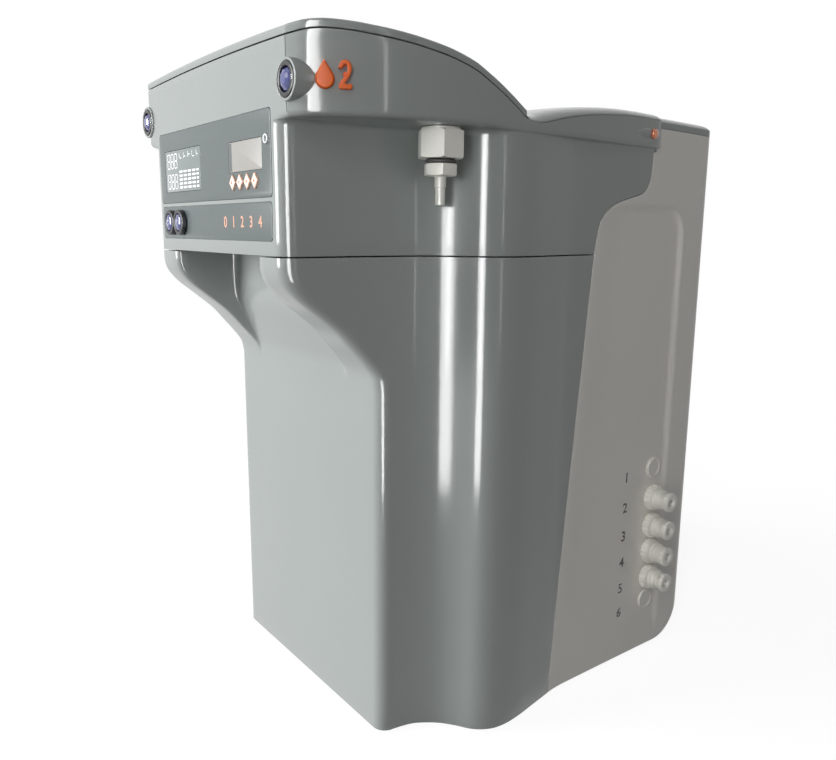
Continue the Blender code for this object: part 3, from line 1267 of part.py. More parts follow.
def cap_profile(radius, length):
    """Profile of a cap with a domed face: the dome's top is at zero, its far end at length."""
    dome = [(radius * sin(pi / 2 * k / ARC_STEPS), CAP_DOME * (1 - cos(pi / 2 * k / ARC_STEPS)))
            for k in range(1, ARC_STEPS + 1)]
    return [(0, 0)] + dome + [(radius, length), (0, length)]


def push_buttons():
    for name, x in PANEL_BUTTON_PLACES.items():
        front = overlay_front() - FIT - PANEL_BEZEL_PROUD
        place = (x, front, PANEL_BUTTON_HEIGHT)
        profile = cup_profile(PANEL_BEZEL_NECK, PANEL_BEZEL_RADIUS, PANEL_BEZEL_PROUD,
                              PANEL_CAP_RADIUS + CAP_CLEARANCE, PANEL_BEZEL_LENGTH, BEZEL_CHAMFER)
        make(name + "_bezel", turned(profile, FINE_SIDES, place, (0, 1, 0)), "black")
        place = (x, front - PANEL_CAP_PROUD, PANEL_BUTTON_HEIGHT)
        make(name + "_cap", turned(cap_profile(PANEL_CAP_RADIUS, PANEL_CAP_LENGTH), FINE_SIDES, place,
                                   (0, 1, 0)), "blue", place)


def dispense_buttons():
    radius = BOSS_RADIUS - BOSS_WALL - FIT
    bore = radius - DISPENSE_BEZEL_WIDTH
    for side, word in SIDE_WORDS.items():
        x, y, z = boss_place(side)
        place = (x, y - DISPENSE_BEZEL_PROUD, z)
        profile = cup_profile(radius, radius, 0, bore, DISPENSE_BEZEL_LENGTH, BEZEL_CHAMFER)
        make("dispense_bezel_" + word, turned(profile, FINE_SIDES, place, (0, 1, 0)), "black")
        place = (x, y - DISPENSE_BEZEL_PROUD - DISPENSE_CAP_PROUD, z)
        make("dispense_button_" + word,
             turned(cap_profile(bore - CAP_CLEARANCE, DISPENSE_CAP_LENGTH), FINE_SIDES, place, (0, 1, 0)),
             "blue", place)


# Marks and lamps on the rim

def drop_outline():
    """Water drop, standing on the middle of its base line."""
    radius = DROP_WIDTH / 2
    lean = acos(radius / (MARK_HEIGHT - radius))
    angles = [pi / 2 - lean - (2 * pi - 2 * lean) * k / DROP_STEPS for k in range(DROP_STEPS + 1)]
    return [(radius * cos(a), radius + radius * sin(a)) for a in angles] + [(0, MARK_HEIGHT)]


def numeral_outline(shares):
    return [((a - 0.5) * NUMERAL_WIDTH, b * MARK_HEIGHT) for a, b in shares]


def rim_side_frame(side, setback):
    """Frame on the rim's side: x to a viewer's right, y up, z outwards."""
    run = rim_x(setback + MARK_WIDTH / 2) - rim_x(setback - MARK_WIDTH / 2)
    along = Vector((run, side * MARK_WIDTH, 0)).normalized()
    outwards = along.cross(Vector((0, 0, 1)))
    place = (side * rim_x(setback), setback, MARK_MIDDLE_HEIGHT - MARK_HEIGHT / 2)
    axes = Matrix((along, Vector((0, 0, 1)), outwards)).transposed().to_4x4()
    return Matrix.Translation(place) @ axes


def mark_places():
    return (MARK_SETBACK, MARK_SETBACK + MARK_PITCH)


def outlet_marks():
    """Clip-in mouldings: a drop and a number outside the rim, on two pegs and a bar inside it."""
    inside = -WALL - MARK_BAR_GAP
    for side, word in SIDE_WORDS.items():
        near, far = (rim_side_frame(side, setback) for setback in mark_places())
        drop_frame, number_frame = (near, far) if side > 0 else (far, near)
        drop = prism(drop_outline(), MARK_SEAT, MARK_SEAT + MARK_THICKNESS)
        number = prism(numeral_outline(NUMERAL_SHARES[word]), MARK_SEAT, MARK_SEAT + MARK_THICKNESS)
        mark = make("outlet_mark_" + word, drop.moved(drop_frame), "orange")
        peg = rod(PEG_RADIUS, inside - 2 * MARK_BAR_RADIUS, MARK_SEAT + MARK_THICKNESS / 2,
                  (0, MARK_HEIGHT / 2, 0), (0, 0, 1), SMALL_SIDES)
        ends = [frame @ Vector((0, MARK_HEIGHT / 2, inside - MARK_BAR_RADIUS)) for frame in (near, far)]
        along = (ends[1] - ends[0]).normalized()
        bar = rod(MARK_BAR_RADIUS, -PEG_RADIUS, (ends[1] - ends[0]).length + PEG_RADIUS, ends[0], along, 6)
        combine(mark, "UNION", peg.moved(drop_frame), bar, peg.moved(number_frame),
                number.moved(number_frame))


def side_lamps():
    profile = [(0, -WALL - OVERRUN), (SIDE_LAMP_STEM, -WALL - OVERRUN), (SIDE_LAMP_STEM, FIT)]
    profile += [(SIDE_LAMP_RADIUS * cos(pi / 2 * k / ARC_STEPS),
                 FIT + SIDE_LAMP_PROUD * sin(pi / 2 * k / ARC_STEPS)) for k in range(ARC_STEPS)]
    profile.append((0, FIT + SIDE_LAMP_PROUD))
    for side, word in SIDE_WORDS.items():
        make("side_lamp_" + word, turned(profile, SMALL_SIDES, side_lamp_place(side), (side, 0, 0)), "orange")


# Outlet nozzles

def outlets():
    """Body, seal, nut and tip of both outlets, which hang under the head's ceiling."""
    pad_top = RIM_BASE_HEIGHT - CEILING_SLOPE - FIT
    hex_top = pad_top - NOZZLE_PAD_HEIGHT
    hex_base = hex_top - NOZZLE_HEX_HEIGHT
    seal_top = hex_base - FIT
    seal_base = seal_top - SEAL_HEIGHT
    nut_top = seal_base - FIT
    nut_base = nut_top - NUT_HEIGHT
    spigot_base = (nut_top + nut_base) / 2
    tip_base = nut_base - TIP_LENGTH
    for side, word in SIDE_WORDS.items():
        place = (side * NOZZLE_X, NOZZLE_SETBACK, 0)

        def bar(radius, low, high, sides=SIDES):
            return rod(radius, low, high, place, (0, 0, 1), sides)

        def hexagon(radius, low, high):
            """Hexagonal bar with a flat to each side."""
            return turned([(0, low), (radius, low), (radius, high), (0, high)], 6, place,
                          start_angle=pi / 6)

        body = make("outlet_body_" + word, hexagon(NOZZLE_HEX_RADIUS, hex_base, hex_top), "fitting")
        shank_top = pad_top + NOZZLE_SHANK_LENGTH
        ends = turned([(0, shank_top), (NOZZLE_SHANK_RADIUS, shank_top), (NOZZLE_SHANK_RADIUS, pad_top),
                       (NOZZLE_PAD_RADIUS, pad_top),
                       (NOZZLE_PAD_RADIUS, hex_top - OVERRUN), (SPIGOT_RADIUS, hex_top - OVERRUN),
                       (SPIGOT_RADIUS, spigot_base), (0, spigot_base)], SIDES, place)
        combine(body, "UNION", ends)
        combine(body, "DIFFERENCE", bar(NOZZLE_BORE_RADIUS, spigot_base - OVERRUN, shank_top + OVERRUN,
                                        SMALL_SIDES))
        bulge = SEAL_HEIGHT / 2
        seal = [(SPIGOT_RADIUS + FIT, seal_base), (SEAL_OUTER_RADIUS - bulge / 2, seal_base),
                (SEAL_OUTER_RADIUS, seal_base + bulge), (SEAL_OUTER_RADIUS - bulge / 2, seal_top),
                (SPIGOT_RADIUS + FIT, seal_top)]
        make("outlet_seal_" + word, turned(seal, SIDES, place), "rubber")
        nut = make("outlet_nut_" + word, hexagon(NUT_HEX_RADIUS, nut_base, nut_top), "fitting")
        combine(nut, "DIFFERENCE", bar(SPIGOT_RADIUS + FIT, nut_base - OVERRUN, nut_top + OVERRUN))
        tip = [(NOZZLE_BORE_RADIUS, spigot_base - FIT), (TIP_ROOT_RADIUS, spigot_base - FIT),
               (TIP_ROOT_RADIUS, nut_base), (TIP_RADIUS, nut_base - OVERRUN),
               (TIP_RADIUS, nut_base - TIP_STEP),
               (TIP_RADIUS - TIP_STEP_DEPTH, nut_base - TIP_STEP),
               (TIP_RADIUS - TIP_STEP_DEPTH, tip_base),
               (NOZZLE_BORE_RADIUS, tip_base)]
        make("outlet_tip_" + word, turned(tip, SIDES, place), "fitting")


# Hose ports and plugs on the right side

def port_surface():
    return BODY_HALF_WIDTH - SIDE_RECESS_DEPTH


def port_fittings():
    """Bulkhead fittings, each with a sliding release collet in its mouth."""
    nut_end = FIT + PORT_NUT_LENGTH
    rib_end = nut_end + PORT_BODY_LENGTH
    mouth = rib_end + PORT_NECK_LENGTH
    pocket = mouth - COLLET_SLEEVE_LENGTH
    for number, z in enumerate(PORT_HEIGHTS, start=1):
        place = (port_surface(), PORT_SETBACK, z)
        outside = [(PORT_BORE_RADIUS, -PORT_SHANK_LENGTH), (PORT_SHANK_RADIUS, -PORT_SHANK_LENGTH),
                   (PORT_SHANK_RADIUS, nut_end - OVERRUN), (PORT_BODY_RADIUS, nut_end - OVERRUN)]
        pitch = PORT_BODY_LENGTH / PORT_RIB_COUNT
        for rib in range(PORT_RIB_COUNT):
            start = nut_end + pitch * rib + pitch / 4
            outside += [(PORT_BODY_RADIUS, start), (PORT_RIB_RADIUS, start),
                        (PORT_RIB_RADIUS, start + pitch / 2), (PORT_BODY_RADIUS, start + pitch / 2)]
        outside += [(PORT_BODY_RADIUS, rib_end), (PORT_NECK_RADIUS, rib_end), (PORT_NECK_RADIUS, mouth),
                    (COLLET_SLEEVE_RADIUS + FIT, mouth),
                    (COLLET_SLEEVE_RADIUS + FIT, pocket), (PORT_BORE_RADIUS, pocket)]
        fitting = make(f"port_fitting_{number}", turned(outside, SMALL_SIDES, place, (1, 0, 0)), "fitting")
        ring = turned([(PORT_SHANK_RADIUS - OVERRUN, FIT), (PORT_NUT_RADIUS, FIT), (PORT_NUT_RADIUS, nut_end),
                       (PORT_SHANK_RADIUS - OVERRUN, nut_end)], 6, place, (1, 0, 0))
        combine(fitting, "UNION", ring)
        flange = mouth + COLLET_TRAVEL_ROOM
        sleeve_end = pocket + COLLET_TRAVEL_ROOM
        end = flange + COLLET_FLANGE_LENGTH
        collet = [(PORT_BORE_RADIUS, sleeve_end), (COLLET_SLEEVE_RADIUS, sleeve_end),
                  (COLLET_SLEEVE_RADIUS, flange), (COLLET_FLANGE_RADIUS, flange),
                  (COLLET_FLANGE_RADIUS, end - COLLET_CHAMFER),
                  (COLLET_FLANGE_RADIUS - COLLET_CHAMFER, end), (PORT_BORE_RADIUS, end)]
        make(f"port_collet_{number}", turned(collet, SMALL_SIDES, place, (1, 0, 0)), "fitting", place)


# Mains inlet

def inlet_box(width, height, start, end):
    return block((INLET_X - width / 2, start, INLET_HEIGHT - height / 2),
                 (INLET_X + width / 2, end, INLET_HEIGHT + height / 2))


def mains_inlet():
    """Socket for a mains lead, with three flat pins."""
    face = BODY_DEPTH + FIT + INLET_FLANGE_THICKNESS
    floor = face - INLET_SOCKET_DEPTH
    inlet = make("mains_inlet", inlet_box(INLET_FLANGE_WIDTH, INLET_FLANGE_HEIGHT, BODY_DEPTH + FIT, face),
                 "black")
    body = inlet_box(INLET_BODY_WIDTH, INLET_BODY_HEIGHT, face - INLET_BODY_DEPTH, BODY_DEPTH + OVERRUN)
    combine(inlet, "UNION", body)
    left, right = INLET_X - INLET_SOCKET_WIDTH / 2, INLET_X + INLET_SOCKET_WIDTH / 2
    base, top = INLET_HEIGHT - INLET_SOCKET_HEIGHT / 2, INLET_HEIGHT + INLET_SOCKET_HEIGHT / 2
    socket = [(left, base), (right, base), (right, top - INLET_CUT_CORNER), (right - INLET_CUT_CORNER, top),
              (left + INLET_CUT_CORNER, top), (left, top - INLET_CUT_CORNER)]
    cut = prism(socket, floor, face + OVERRUN, "y")
    combine(inlet, "DIFFERENCE", cut)
    pins = Solid()
    for x, z in ((-INLET_PIN_SPREAD, -INLET_PIN_RISE), (0, INLET_PIN_RISE),
                 (INLET_PIN_SPREAD, -INLET_PIN_RISE)):
        x, z = INLET_X + x, INLET_HEIGHT + z
        pins.join(block((x - INLET_PIN_WIDTH / 2, floor - OVERRUN, z - INLET_PIN_HEIGHT / 2),
                        (x + INLET_PIN_WIDTH / 2, floor + INLET_PIN_LENGTH, z + INLET_PIN_HEIGHT / 2)))
    combine(inlet, "UNION", pins)


# Base

def base_plate():
    """Plate inside the bottom edges of both housings, rounded like them."""
    meeting = REAR_EDGE_AT_BASE - 2 * WALL
    front, rear = lower_row(0), list(reversed(rear_row(meeting, 0)))
    outline = [p for p in inset(front, [WALL + FIT] * len(front)) if p[1] < meeting - WALL]
    limit = port_surface() - WALL - FIT
    for x, y in inset(rear, [WALL + 2 * FIT] * len(rear)):
        outline.append((max(-limit, min(x, limit)) if y > SIDE_RECESS_END - SIDE_RECESS_RADIUS else x, y))
    make("base_plate", prism(outline, BASE_LIFT, BASE_LIFT + BASE_THICKNESS), "steel")


def rubber_feet():
    profile = [(0, -FOOT_PROUD), (FOOT_RADIUS - FOOT_CHAMFER, -FOOT_PROUD),
               (FOOT_RADIUS, FOOT_CHAMFER - FOOT_PROUD), (FOOT_RADIUS, BASE_LIFT - FIT), (0, BASE_LIFT - FIT)]
    for side, word in SIDE_WORDS.items():
        make("front_foot_" + word, turned(profile, SIDES, (side * FRONT_FOOT_X, FRONT_FOOT_Y, 0)), "rubber")
        make("rear_foot_" + word, turned(profile, SIDES, (side * REAR_FOOT_X, REAR_FOOT_Y, 0)), "rubber")


# Inside

TRAY_BASE = BASE_LIFT + BASE_THICKNESS + FIT
TRAY_TOP = TRAY_BASE + SHEET
SHELF_TOP = SHELF_HEIGHT + SHEET


def inner_frame():
    """Folded sheet: a tray, an upright along the middle and a shelf on its left side."""
    half = SHEET / 2
    outline = [(-TRAY_HALF_WIDTH, TRAY_BASE), (TRAY_HALF_WIDTH, TRAY_BASE), (TRAY_HALF_WIDTH, TRAY_TOP),
               (half, TRAY_TOP), (half, UPRIGHT_TOP), (-half, UPRIGHT_TOP), (-half, SHELF_TOP),
               (-SHELF_WIDTH, SHELF_TOP), (-SHELF_WIDTH, SHELF_HEIGHT), (-half, SHELF_HEIGHT),
               (-half, TRAY_TOP), (-TRAY_HALF_WIDTH, TRAY_TOP)]
    make("inner_frame", prism(outline, FRAME_START, FRAME_END, "y"), "steel")


def booster_pump():
    foot_base = TRAY_TOP + FIT
    axis_height = foot_base + PUMP_FOOT_HEIGHT + MOTOR_RADIUS - OVERRUN
    start = (PUMP_X, PUMP_START, axis_height)
    drive = [(0, 0), (MOTOR_RADIUS, 0), (MOTOR_RADIUS, MOTOR_LENGTH), (PUMP_HEAD_RADIUS, MOTOR_LENGTH),
             (PUMP_HEAD_RADIUS, MOTOR_LENGTH + PUMP_HEAD_LENGTH), (0, MOTOR_LENGTH + PUMP_HEAD_LENGTH)]
    pump = make("booster_pump", turned(drive, SIDES, start, (0, 1, 0)), "black")
    foot_start = PUMP_START + PUMP_FOOT_SETBACK
    foot = block((PUMP_X - PUMP_FOOT_WIDTH / 2, foot_start, foot_base),
                 (PUMP_X + PUMP_FOOT_WIDTH / 2, foot_start + PUMP_FOOT_LENGTH, foot_base + PUMP_FOOT_HEIGHT))
    combine(pump, "UNION", foot)


def cartridge(radius, height, x, y, base):
    """Upright canister with a shoulder and a screw cap."""
    rim = CARTRIDGE_SHOULDER / 4
    profile = [(0, 0), (radius - rim, 0), (radius, rim), (radius, height - CARTRIDGE_SHOULDER),
               (CARTRIDGE_CAP_RADIUS, height), (CARTRIDGE_CAP_RADIUS, height + CARTRIDGE_CAP_HEIGHT),
               (0, height + CARTRIDGE_CAP_HEIGHT)]
    return turned(profile, SIDES, (x, y, base))


def cartridges():
    beside = SHEET / 2 + FIT
    x, base = beside + CARTRIDGE_RADIUS, TRAY_TOP + FIT
    first, second = (cartridge(CARTRIDGE_RADIUS, CARTRIDGE_HEIGHT, x, y, base) for y in ION_CARTRIDGE_PLACES)
    # Both canisters hang on one head
    head_base = base + CARTRIDGE_HEIGHT + OVERRUN
    head = block((x - CARTRIDGE_CAP_RADIUS, ION_CARTRIDGE_PLACES[0], head_base),
                 (x + CARTRIDGE_CAP_RADIUS, ION_CARTRIDGE_PLACES[1], head_base + CARTRIDGE_CAP_HEIGHT))
    twin = make("deionising_cartridge", first, "cartridge")
    combine(twin, "UNION", head, second)
    make("prefilter_cartridge", cartridge(CARTRIDGE_RADIUS, PREFILTER_HEIGHT, -beside - CARTRIDGE_RADIUS,
                                          PREFILTER_SETBACK, SHELF_TOP + FIT), "cartridge")
    make("reverse_osmosis_module", cartridge(MEMBRANE_RADIUS, MEMBRANE_HEIGHT, -beside - MEMBRANE_RADIUS,
                                             MEMBRANE_SETBACK, SHELF_TOP + FIT), "cartridge")


def valve_places():
    """Valves stand in a row along the middle of the valve block."""
    x = SHEET / 2 + FIT + MANIFOLD_WIDTH / 2
    return [(x, MANIFOLD_SETBACK + MANIFOLD_DEPTH * share) for share in (0.25, 0.75)]


def valve_manifold():
    """Block with the two dispensing valves on top."""
    left = SHEET / 2 + FIT
    top = MANIFOLD_BASE + MANIFOLD_HEIGHT
    manifold = make("valve_manifold", block((left, MANIFOLD_SETBACK, MANIFOLD_BASE),
                                            (left + MANIFOLD_WIDTH, MANIFOLD_SETBACK + MANIFOLD_DEPTH, top)),
                    "fitting")
    profile = [(0, -OVERRUN), (VALVE_RADIUS, -OVERRUN), (VALVE_RADIUS, VALVE_HEIGHT),
               (VALVE_STUB_RADIUS, VALVE_HEIGHT), (VALVE_STUB_RADIUS, VALVE_HEIGHT + VALVE_STUB_HEIGHT),
               (0, VALVE_HEIGHT + VALVE_STUB_HEIGHT)]
    combine(manifold, "UNION", *(turned(profile, SIDES, (x, y, top)) for x, y in valve_places()))


def power_supply():
    left, base = SHEET / 2 + FIT, TRAY_TOP + FIT
    make("power_supply", block((left, SUPPLY_SETBACK, base),
                               (left + SUPPLY_WIDTH, SUPPLY_SETBACK + SUPPLY_DEPTH, base + SUPPLY_HEIGHT)),
         "steel")


def curve_point(points, t):
    """Point on a smooth curve through points, t running from 0 at the first to 1 at the last."""
    last = len(points) - 1
    return Vector([smooth_value([(k / last, p[axis]) for k, p in enumerate(points)], t) for axis in range(3)])


def tube(points, radius, sides):
    """Solid round bar along a smooth curve through points, with upright ends."""
    path = [curve_point(points, k / HOSE_STEPS) for k in range(HOSE_STEPS + 1)]
    side = Vector((0, 1, 0))
    rings = []
    for k, point in enumerate(path):
        ahead = (path[min(k + 1, HOSE_STEPS)] - path[max(k - 1, 0)]).normalized()
        if k in (0, HOSE_STEPS):
            ahead = Vector((0, 0, 1 if k == 0 else -1))
        side = (side - ahead * side.dot(ahead)).normalized()
        up = ahead.cross(side)
        rings.append([point + radius * (side * cos(2 * pi * n / sides) + up * sin(2 * pi * n / sides))
                      for n in range(sides)])
    flat = [p for ring in rings for p in ring]
    faces = [tuple(range(sides)), tuple(range(len(flat) - sides, len(flat)))]
    for k in range(HOSE_STEPS):
        for n in range(sides):
            m = (n + 1) % sides
            faces.append((k * sides + n, k * sides + m, (k + 1) * sides + m, (k + 1) * sides + n))
    return Solid().add(flat, faces)


def water_hoses():
    """Hoses from the valves over the ceiling to both outlets."""
    valve_top = MANIFOLD_BASE + MANIFOLD_HEIGHT + VALVE_HEIGHT + VALVE_STUB_HEIGHT + FIT
    outlet_top = RIM_BASE_HEIGHT - CEILING_SLOPE + NOZZLE_SHANK_LENGTH
    for (side, word), (x, y) in zip(SIDE_WORDS.items(), valve_places()):
        points = [(x, y, valve_top)] + [tuple(MM * value for value in point) for point in HOSE_ROUTES[word]]
        points.append((side * NOZZLE_X, NOZZLE_SETBACK, outlet_top))
        make("water_hose_" + word, tube(points, HOSE_RADIUS, HOSE_SIDES), "cartridge")


def build():
    lower_housing()
    upper_housing()
    rear_housing()
    rear_top_cover()
    top_lid()
    hinge()
    display_panel()
    button_strip()
    display_windows()
    menu_keys()
    status_lamp()
    display_board()
    push_buttons()
    dispense_buttons()
    outlet_marks()
    side_lamps()
    outlets()
    port_fittings()
    mains_inlet()
    base_plate()
    rubber_feet()
    inner_frame()
    booster_pump()
    cartridges()
    valve_manifold()
    power_supply()
    water_hoses()


build()

# The bench frame puts the origin on the bench, under the middle of the whole object
right_reach = (port_surface() + FIT + PORT_NUT_LENGTH + PORT_BODY_LENGTH + PORT_NECK_LENGTH
               + COLLET_TRAVEL_ROOM + COLLET_FLANGE_LENGTH)
front_reach = overlay_front() - FIT - PANEL_BEZEL_PROUD - PANEL_CAP_PROUD
rear_reach = BODY_DEPTH + FIT + INLET_FLANGE_THICKNESS
bench_frame.location = (-(right_reach - RIM_HALF_WIDTH) / 2, -(front_reach + rear_reach) / 2, FOOT_PROUD)
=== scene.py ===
"""Looks of the laboratory water purifier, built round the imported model.

The casing's shells are made again with fine surfaces, by the same curves as the solids. All
sizes are metres, apart from the tables that say millimetres. The casing's own datum has x from
its middle plane, y back from the flat front of the head and z up from the casing's bottom edge.
"""
import json
from math import acos, cos, hypot, pi, radians, sin, sqrt

import bmesh
import bpy
from mathutils import Matrix, Vector


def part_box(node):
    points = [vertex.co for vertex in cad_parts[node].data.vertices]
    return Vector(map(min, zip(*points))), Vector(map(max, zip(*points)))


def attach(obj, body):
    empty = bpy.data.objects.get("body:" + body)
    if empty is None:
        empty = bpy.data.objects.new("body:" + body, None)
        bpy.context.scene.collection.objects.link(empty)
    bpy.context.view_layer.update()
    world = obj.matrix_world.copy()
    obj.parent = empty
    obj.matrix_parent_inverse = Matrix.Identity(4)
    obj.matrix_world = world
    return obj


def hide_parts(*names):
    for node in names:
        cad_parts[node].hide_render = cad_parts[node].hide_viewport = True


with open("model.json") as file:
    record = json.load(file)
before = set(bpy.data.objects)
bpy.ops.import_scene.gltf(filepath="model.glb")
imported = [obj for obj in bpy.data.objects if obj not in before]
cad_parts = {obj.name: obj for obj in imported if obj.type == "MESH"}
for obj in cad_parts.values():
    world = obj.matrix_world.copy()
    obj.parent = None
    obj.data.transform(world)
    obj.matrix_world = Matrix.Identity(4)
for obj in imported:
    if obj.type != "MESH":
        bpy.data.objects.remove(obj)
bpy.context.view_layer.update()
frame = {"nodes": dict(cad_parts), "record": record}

MM = 0.001
UP, BACK, RIGHT = (0, 0, 1), (0, 1, 0), (1, 0, 0)

# Clearances and walls
FIT = 0.3 * MM
OVERRUN = 1.0 * MM
WALL = 3.0 * MM

# Casing, seen from above
BODY_DEPTH = 401.0 * MM
BODY_HALF_WIDTH = 153.0 * MM
NECK_HALF_WIDTH = 114.0 * MM
BULGE_HALF_WIDTH = 164.5 * MM
FRONT_SETBACK = 71.6 * MM
FRONT_CORNER_RADIUS = 11.0 * MM
REAR_CORNER_RADIUS = 12.0 * MM
SIDE_PLAN_SHARES = (
    (0.030, 0.00), (0.112, 0.01), (0.187, 0.05), (0.244, 0.13), (0.269, 0.24), (0.292, 0.39),
    (0.312, 0.59), (0.327, 0.77), (0.342, 0.88), (0.364, 0.97), (0.394, 1.00), (0.434, 0.97),
    (0.474, 0.91), (0.521, 0.84), (0.554, 0.79), (0.60, 0.7723), (1.0, 0.7723),
)

# Lower housing
SEAM_HEIGHT = 364.0 * MM
SEAM_GAP = 1.0 * MM
FLARE_HEIGHT = 94.0 * MM
HORN_EDGE = 72.0 * MM
HORN_EDGE_WIDTH = 22.0 * MM
REAR_EDGE_AT_BASE = 215.0 * MM
REAR_EDGE_AT_SEAM = 249.0 * MM
PANEL_GAP = 0.6 * MM
HORN_FRONT_SHARES = (
    (0.00, 0.000), (0.10, 0.004), (0.18, 0.040), (0.28, 0.150), (0.38, 0.310), (0.47, 0.460),
    (0.55, 0.585), (0.68, 0.740), (0.80, 0.880), (0.89, 0.965), (1.00, 1.000),
)
CHANNEL_BACK_SHARES = (
    (0.00, 0.700), (0.30, 0.700), (0.42, 0.715), (0.53, 0.765), (0.64, 0.840), (0.75, 0.915),
    (0.86, 0.980), (1.00, 1.000),
)
HORN_STEP_SHARES = (
    (0.00, 0.00), (0.30, 0.03), (0.42, 0.13), (0.50, 0.50), (0.58, 0.87), (0.70, 0.97),
    (1.00, 1.00),
)

# Head
FASCIA_HALF_WIDTH = 125.0 * MM
FASCIA_EDGE_RADIUS = 2.5 * MM
FASCIA_CORNER_RUN = 8.0 * MM
FASCIA_CORNER_SLOPE = 1.95
RIM_HALF_WIDTH = 166.5 * MM
RIM_LENGTH = 320.0 * MM
RIM_BASE_HEIGHT = 448.5 * MM
RIM_RISE = 49.0 * MM
RIM_EDGE_RADIUS = 4.0 * MM
CEILING_FILLET = 4.0 * MM
CEILING_SLOPE = 0.3 * MM
FILLET_SHARE = 0.45
RIM_ROUND_SHARE = 0.35
HEAD_SIDE_SHARES = (
    (0.050, 0.012), (0.112, 0.040), (0.170, 0.080), (0.210, 0.130), (0.244, 0.190), (0.269, 0.250),
    (0.292, 0.310), (0.312, 0.360), (0.327, 0.400), (None, 0.434), (None, 0.464), (None, 0.497),
    (None, 0.544), (None, 0.594), (None, 0.653), (None, 0.752), (None, 0.877),
)
FASCIA_CROWN = 2.2 * MM
FASCIA_CROWN_DEPTH = 40.0 * MM
RIM_PLAN_SHARES = (
    (0.000, 0.04), (0.012, 0.12), (0.028, 0.24), (0.053, 0.37), (0.085, 0.51), (0.120, 0.65),
    (0.160, 0.77), (0.210, 0.86), (0.270, 0.93), (0.340, 0.98), (0.410, 1.00), (0.516, 0.99),
    (0.675, 0.93), (0.844, 0.84), (1.000, 0.74),
)
TOP_PROFILE_SHARES = (
    (0.000, 0.940), (0.020, 0.985), (0.045, 1.000), (0.080, 0.980), (0.107, 0.950), (0.142, 0.915),
    (0.180, 0.872), (0.237, 0.785), (0.282, 0.675), (0.304, 0.590), (0.335, 0.460), (0.367, 0.308),
    (0.399, 0.155), (0.431, 0.132), (0.464, 0.185), (0.496, 0.245), (0.549, 0.320), (0.618, 0.385),
    (0.691, 0.425), (0.798, 0.435), (0.988, 0.406), (1.000, 0.403),
)
BOUNDARY_SHARES = (
    (0.000, 0.000), (0.155, 0.030), (0.312, 0.090), (0.418, 0.210), (0.500, 0.400),
    (0.546, 0.610), (0.590, 0.820), (0.677, 0.940), (0.787, 0.985), (1.000, 1.000),
)
BOUNDARY_END = 316.0 * MM
BOUNDARY_TOP = 446.0 * MM
HEAD_FLOOR_THICKNESS = 3.0 * MM
HEAD_FLOOR_DEPTH = 96.0 * MM

# Lid
LID_GAP = 1.0 * MM
LID_THICKNESS = 5.0 * MM
LID_SKIN = 2.6 * MM
LID_CROWN = 6.0 * MM
LID_EDGE_RADIUS = 2.0 * MM
LID_BORDER = 5.0 * MM
LID_CROWN_SHARES = ((0.00, 0.00), (0.25, 0.75), (0.50, 1.00), (0.75, 0.75), (0.95, 0.00))
HINGE_SETBACK = 0.393 * BODY_DEPTH
HINGE_TAIL = 0.5 * MM
HINGE_RISE = 1.0 * MM
HINGE_PIN_RADIUS = 1.2 * MM
KNUCKLE_RADIUS = 2.8 * MM
EAR_RADIUS = 2.6 * MM
EAR_WIDTH = 8.0 * MM
EAR_NOTCH_MARGIN = 1.5 * MM
EAR_NOTCH_DEPTH = 4.0 * MM
OUTER_EAR_PLACE = 144.0 * MM

# Rear housing and cover
REAR_BASE_RADIUS = 29.0 * MM
COVER_BAND = 5.0 * MM
COVER_SKIN = 2.5 * MM
COVER_LIP = 1.0 * MM
COVER_FRONT_GAP = 4.2 * MM
COVER_CROWN = 10.0 * MM
SHOULDER_WIDTH = 80.0 * MM
SHOULDER_SHARES = ((0.00, 0.00), (0.025, 0.17), (0.06, 0.33), (0.12, 0.50), (0.22, 0.65),
                   (0.45, 0.82), (1.00, 1.00))
SIDE_RECESS_DEPTH = 3.0 * MM
SIDE_RECESS_END = 366.0 * MM
SIDE_RECESS_TOP = 404.0 * MM
SIDE_RECESS_RADIUS = 24.0 * MM
SIDE_RECESS_SOFTNESS = 7.0 * MM
SIDE_RECESS_LIFT = 35.0 * MM
RECESS_LEAD_SHARE = 0.40

# Panels of the fascia
PANEL_HALF_WIDTH = 101.0 * MM
STRIP_HALF_WIDTH = 100.0 * MM
STRIP_BASE, STRIP_TOP = 374.0 * MM, 399.0 * MM
PANEL_BASE, PANEL_TOP = 402.0 * MM, 456.5 * MM
PANEL_CORNER = 3.0 * MM
PANEL_THICKNESS = 1.5 * MM
POCKET_DEPTH = 1.5 * MM
WINDOW_MARGIN = 2.0 * MM
METER_LEFT, METER_BASE = -89.0 * MM, 410.6 * MM
METER_WIDTH, METER_HEIGHT = 73.0 * MM, 31.8 * MM
LCD_LEFT, LCD_BASE = 36.5 * MM, 420.0 * MM
LCD_WIDTH, LCD_HEIGHT = 51.0 * MM, 19.7 * MM
KEY_HEIGHT_POSITION = 413.0 * MM
FIRST_KEY_X = 43.0 * MM
KEY_PITCH = 11.6 * MM
KEY_COUNT = 4
KEY_HALF_WIDTH = 4.9 * MM
KEY_HALF_HEIGHT = 5.4 * MM
KEY_CLEARANCE = 0.35 * MM
STATUS_LAMP_X, STATUS_LAMP_Z = 95.4 * MM, 438.0 * MM
STATUS_LAMP_RADIUS = 3.0 * MM
PANEL_BUTTON_PLACES = {"power_button": -78.3 * MM, "mode_button": -57.7 * MM}
PANEL_BUTTON_HEIGHT = 386.5 * MM
PANEL_BEZEL_NECK = 8.0 * MM

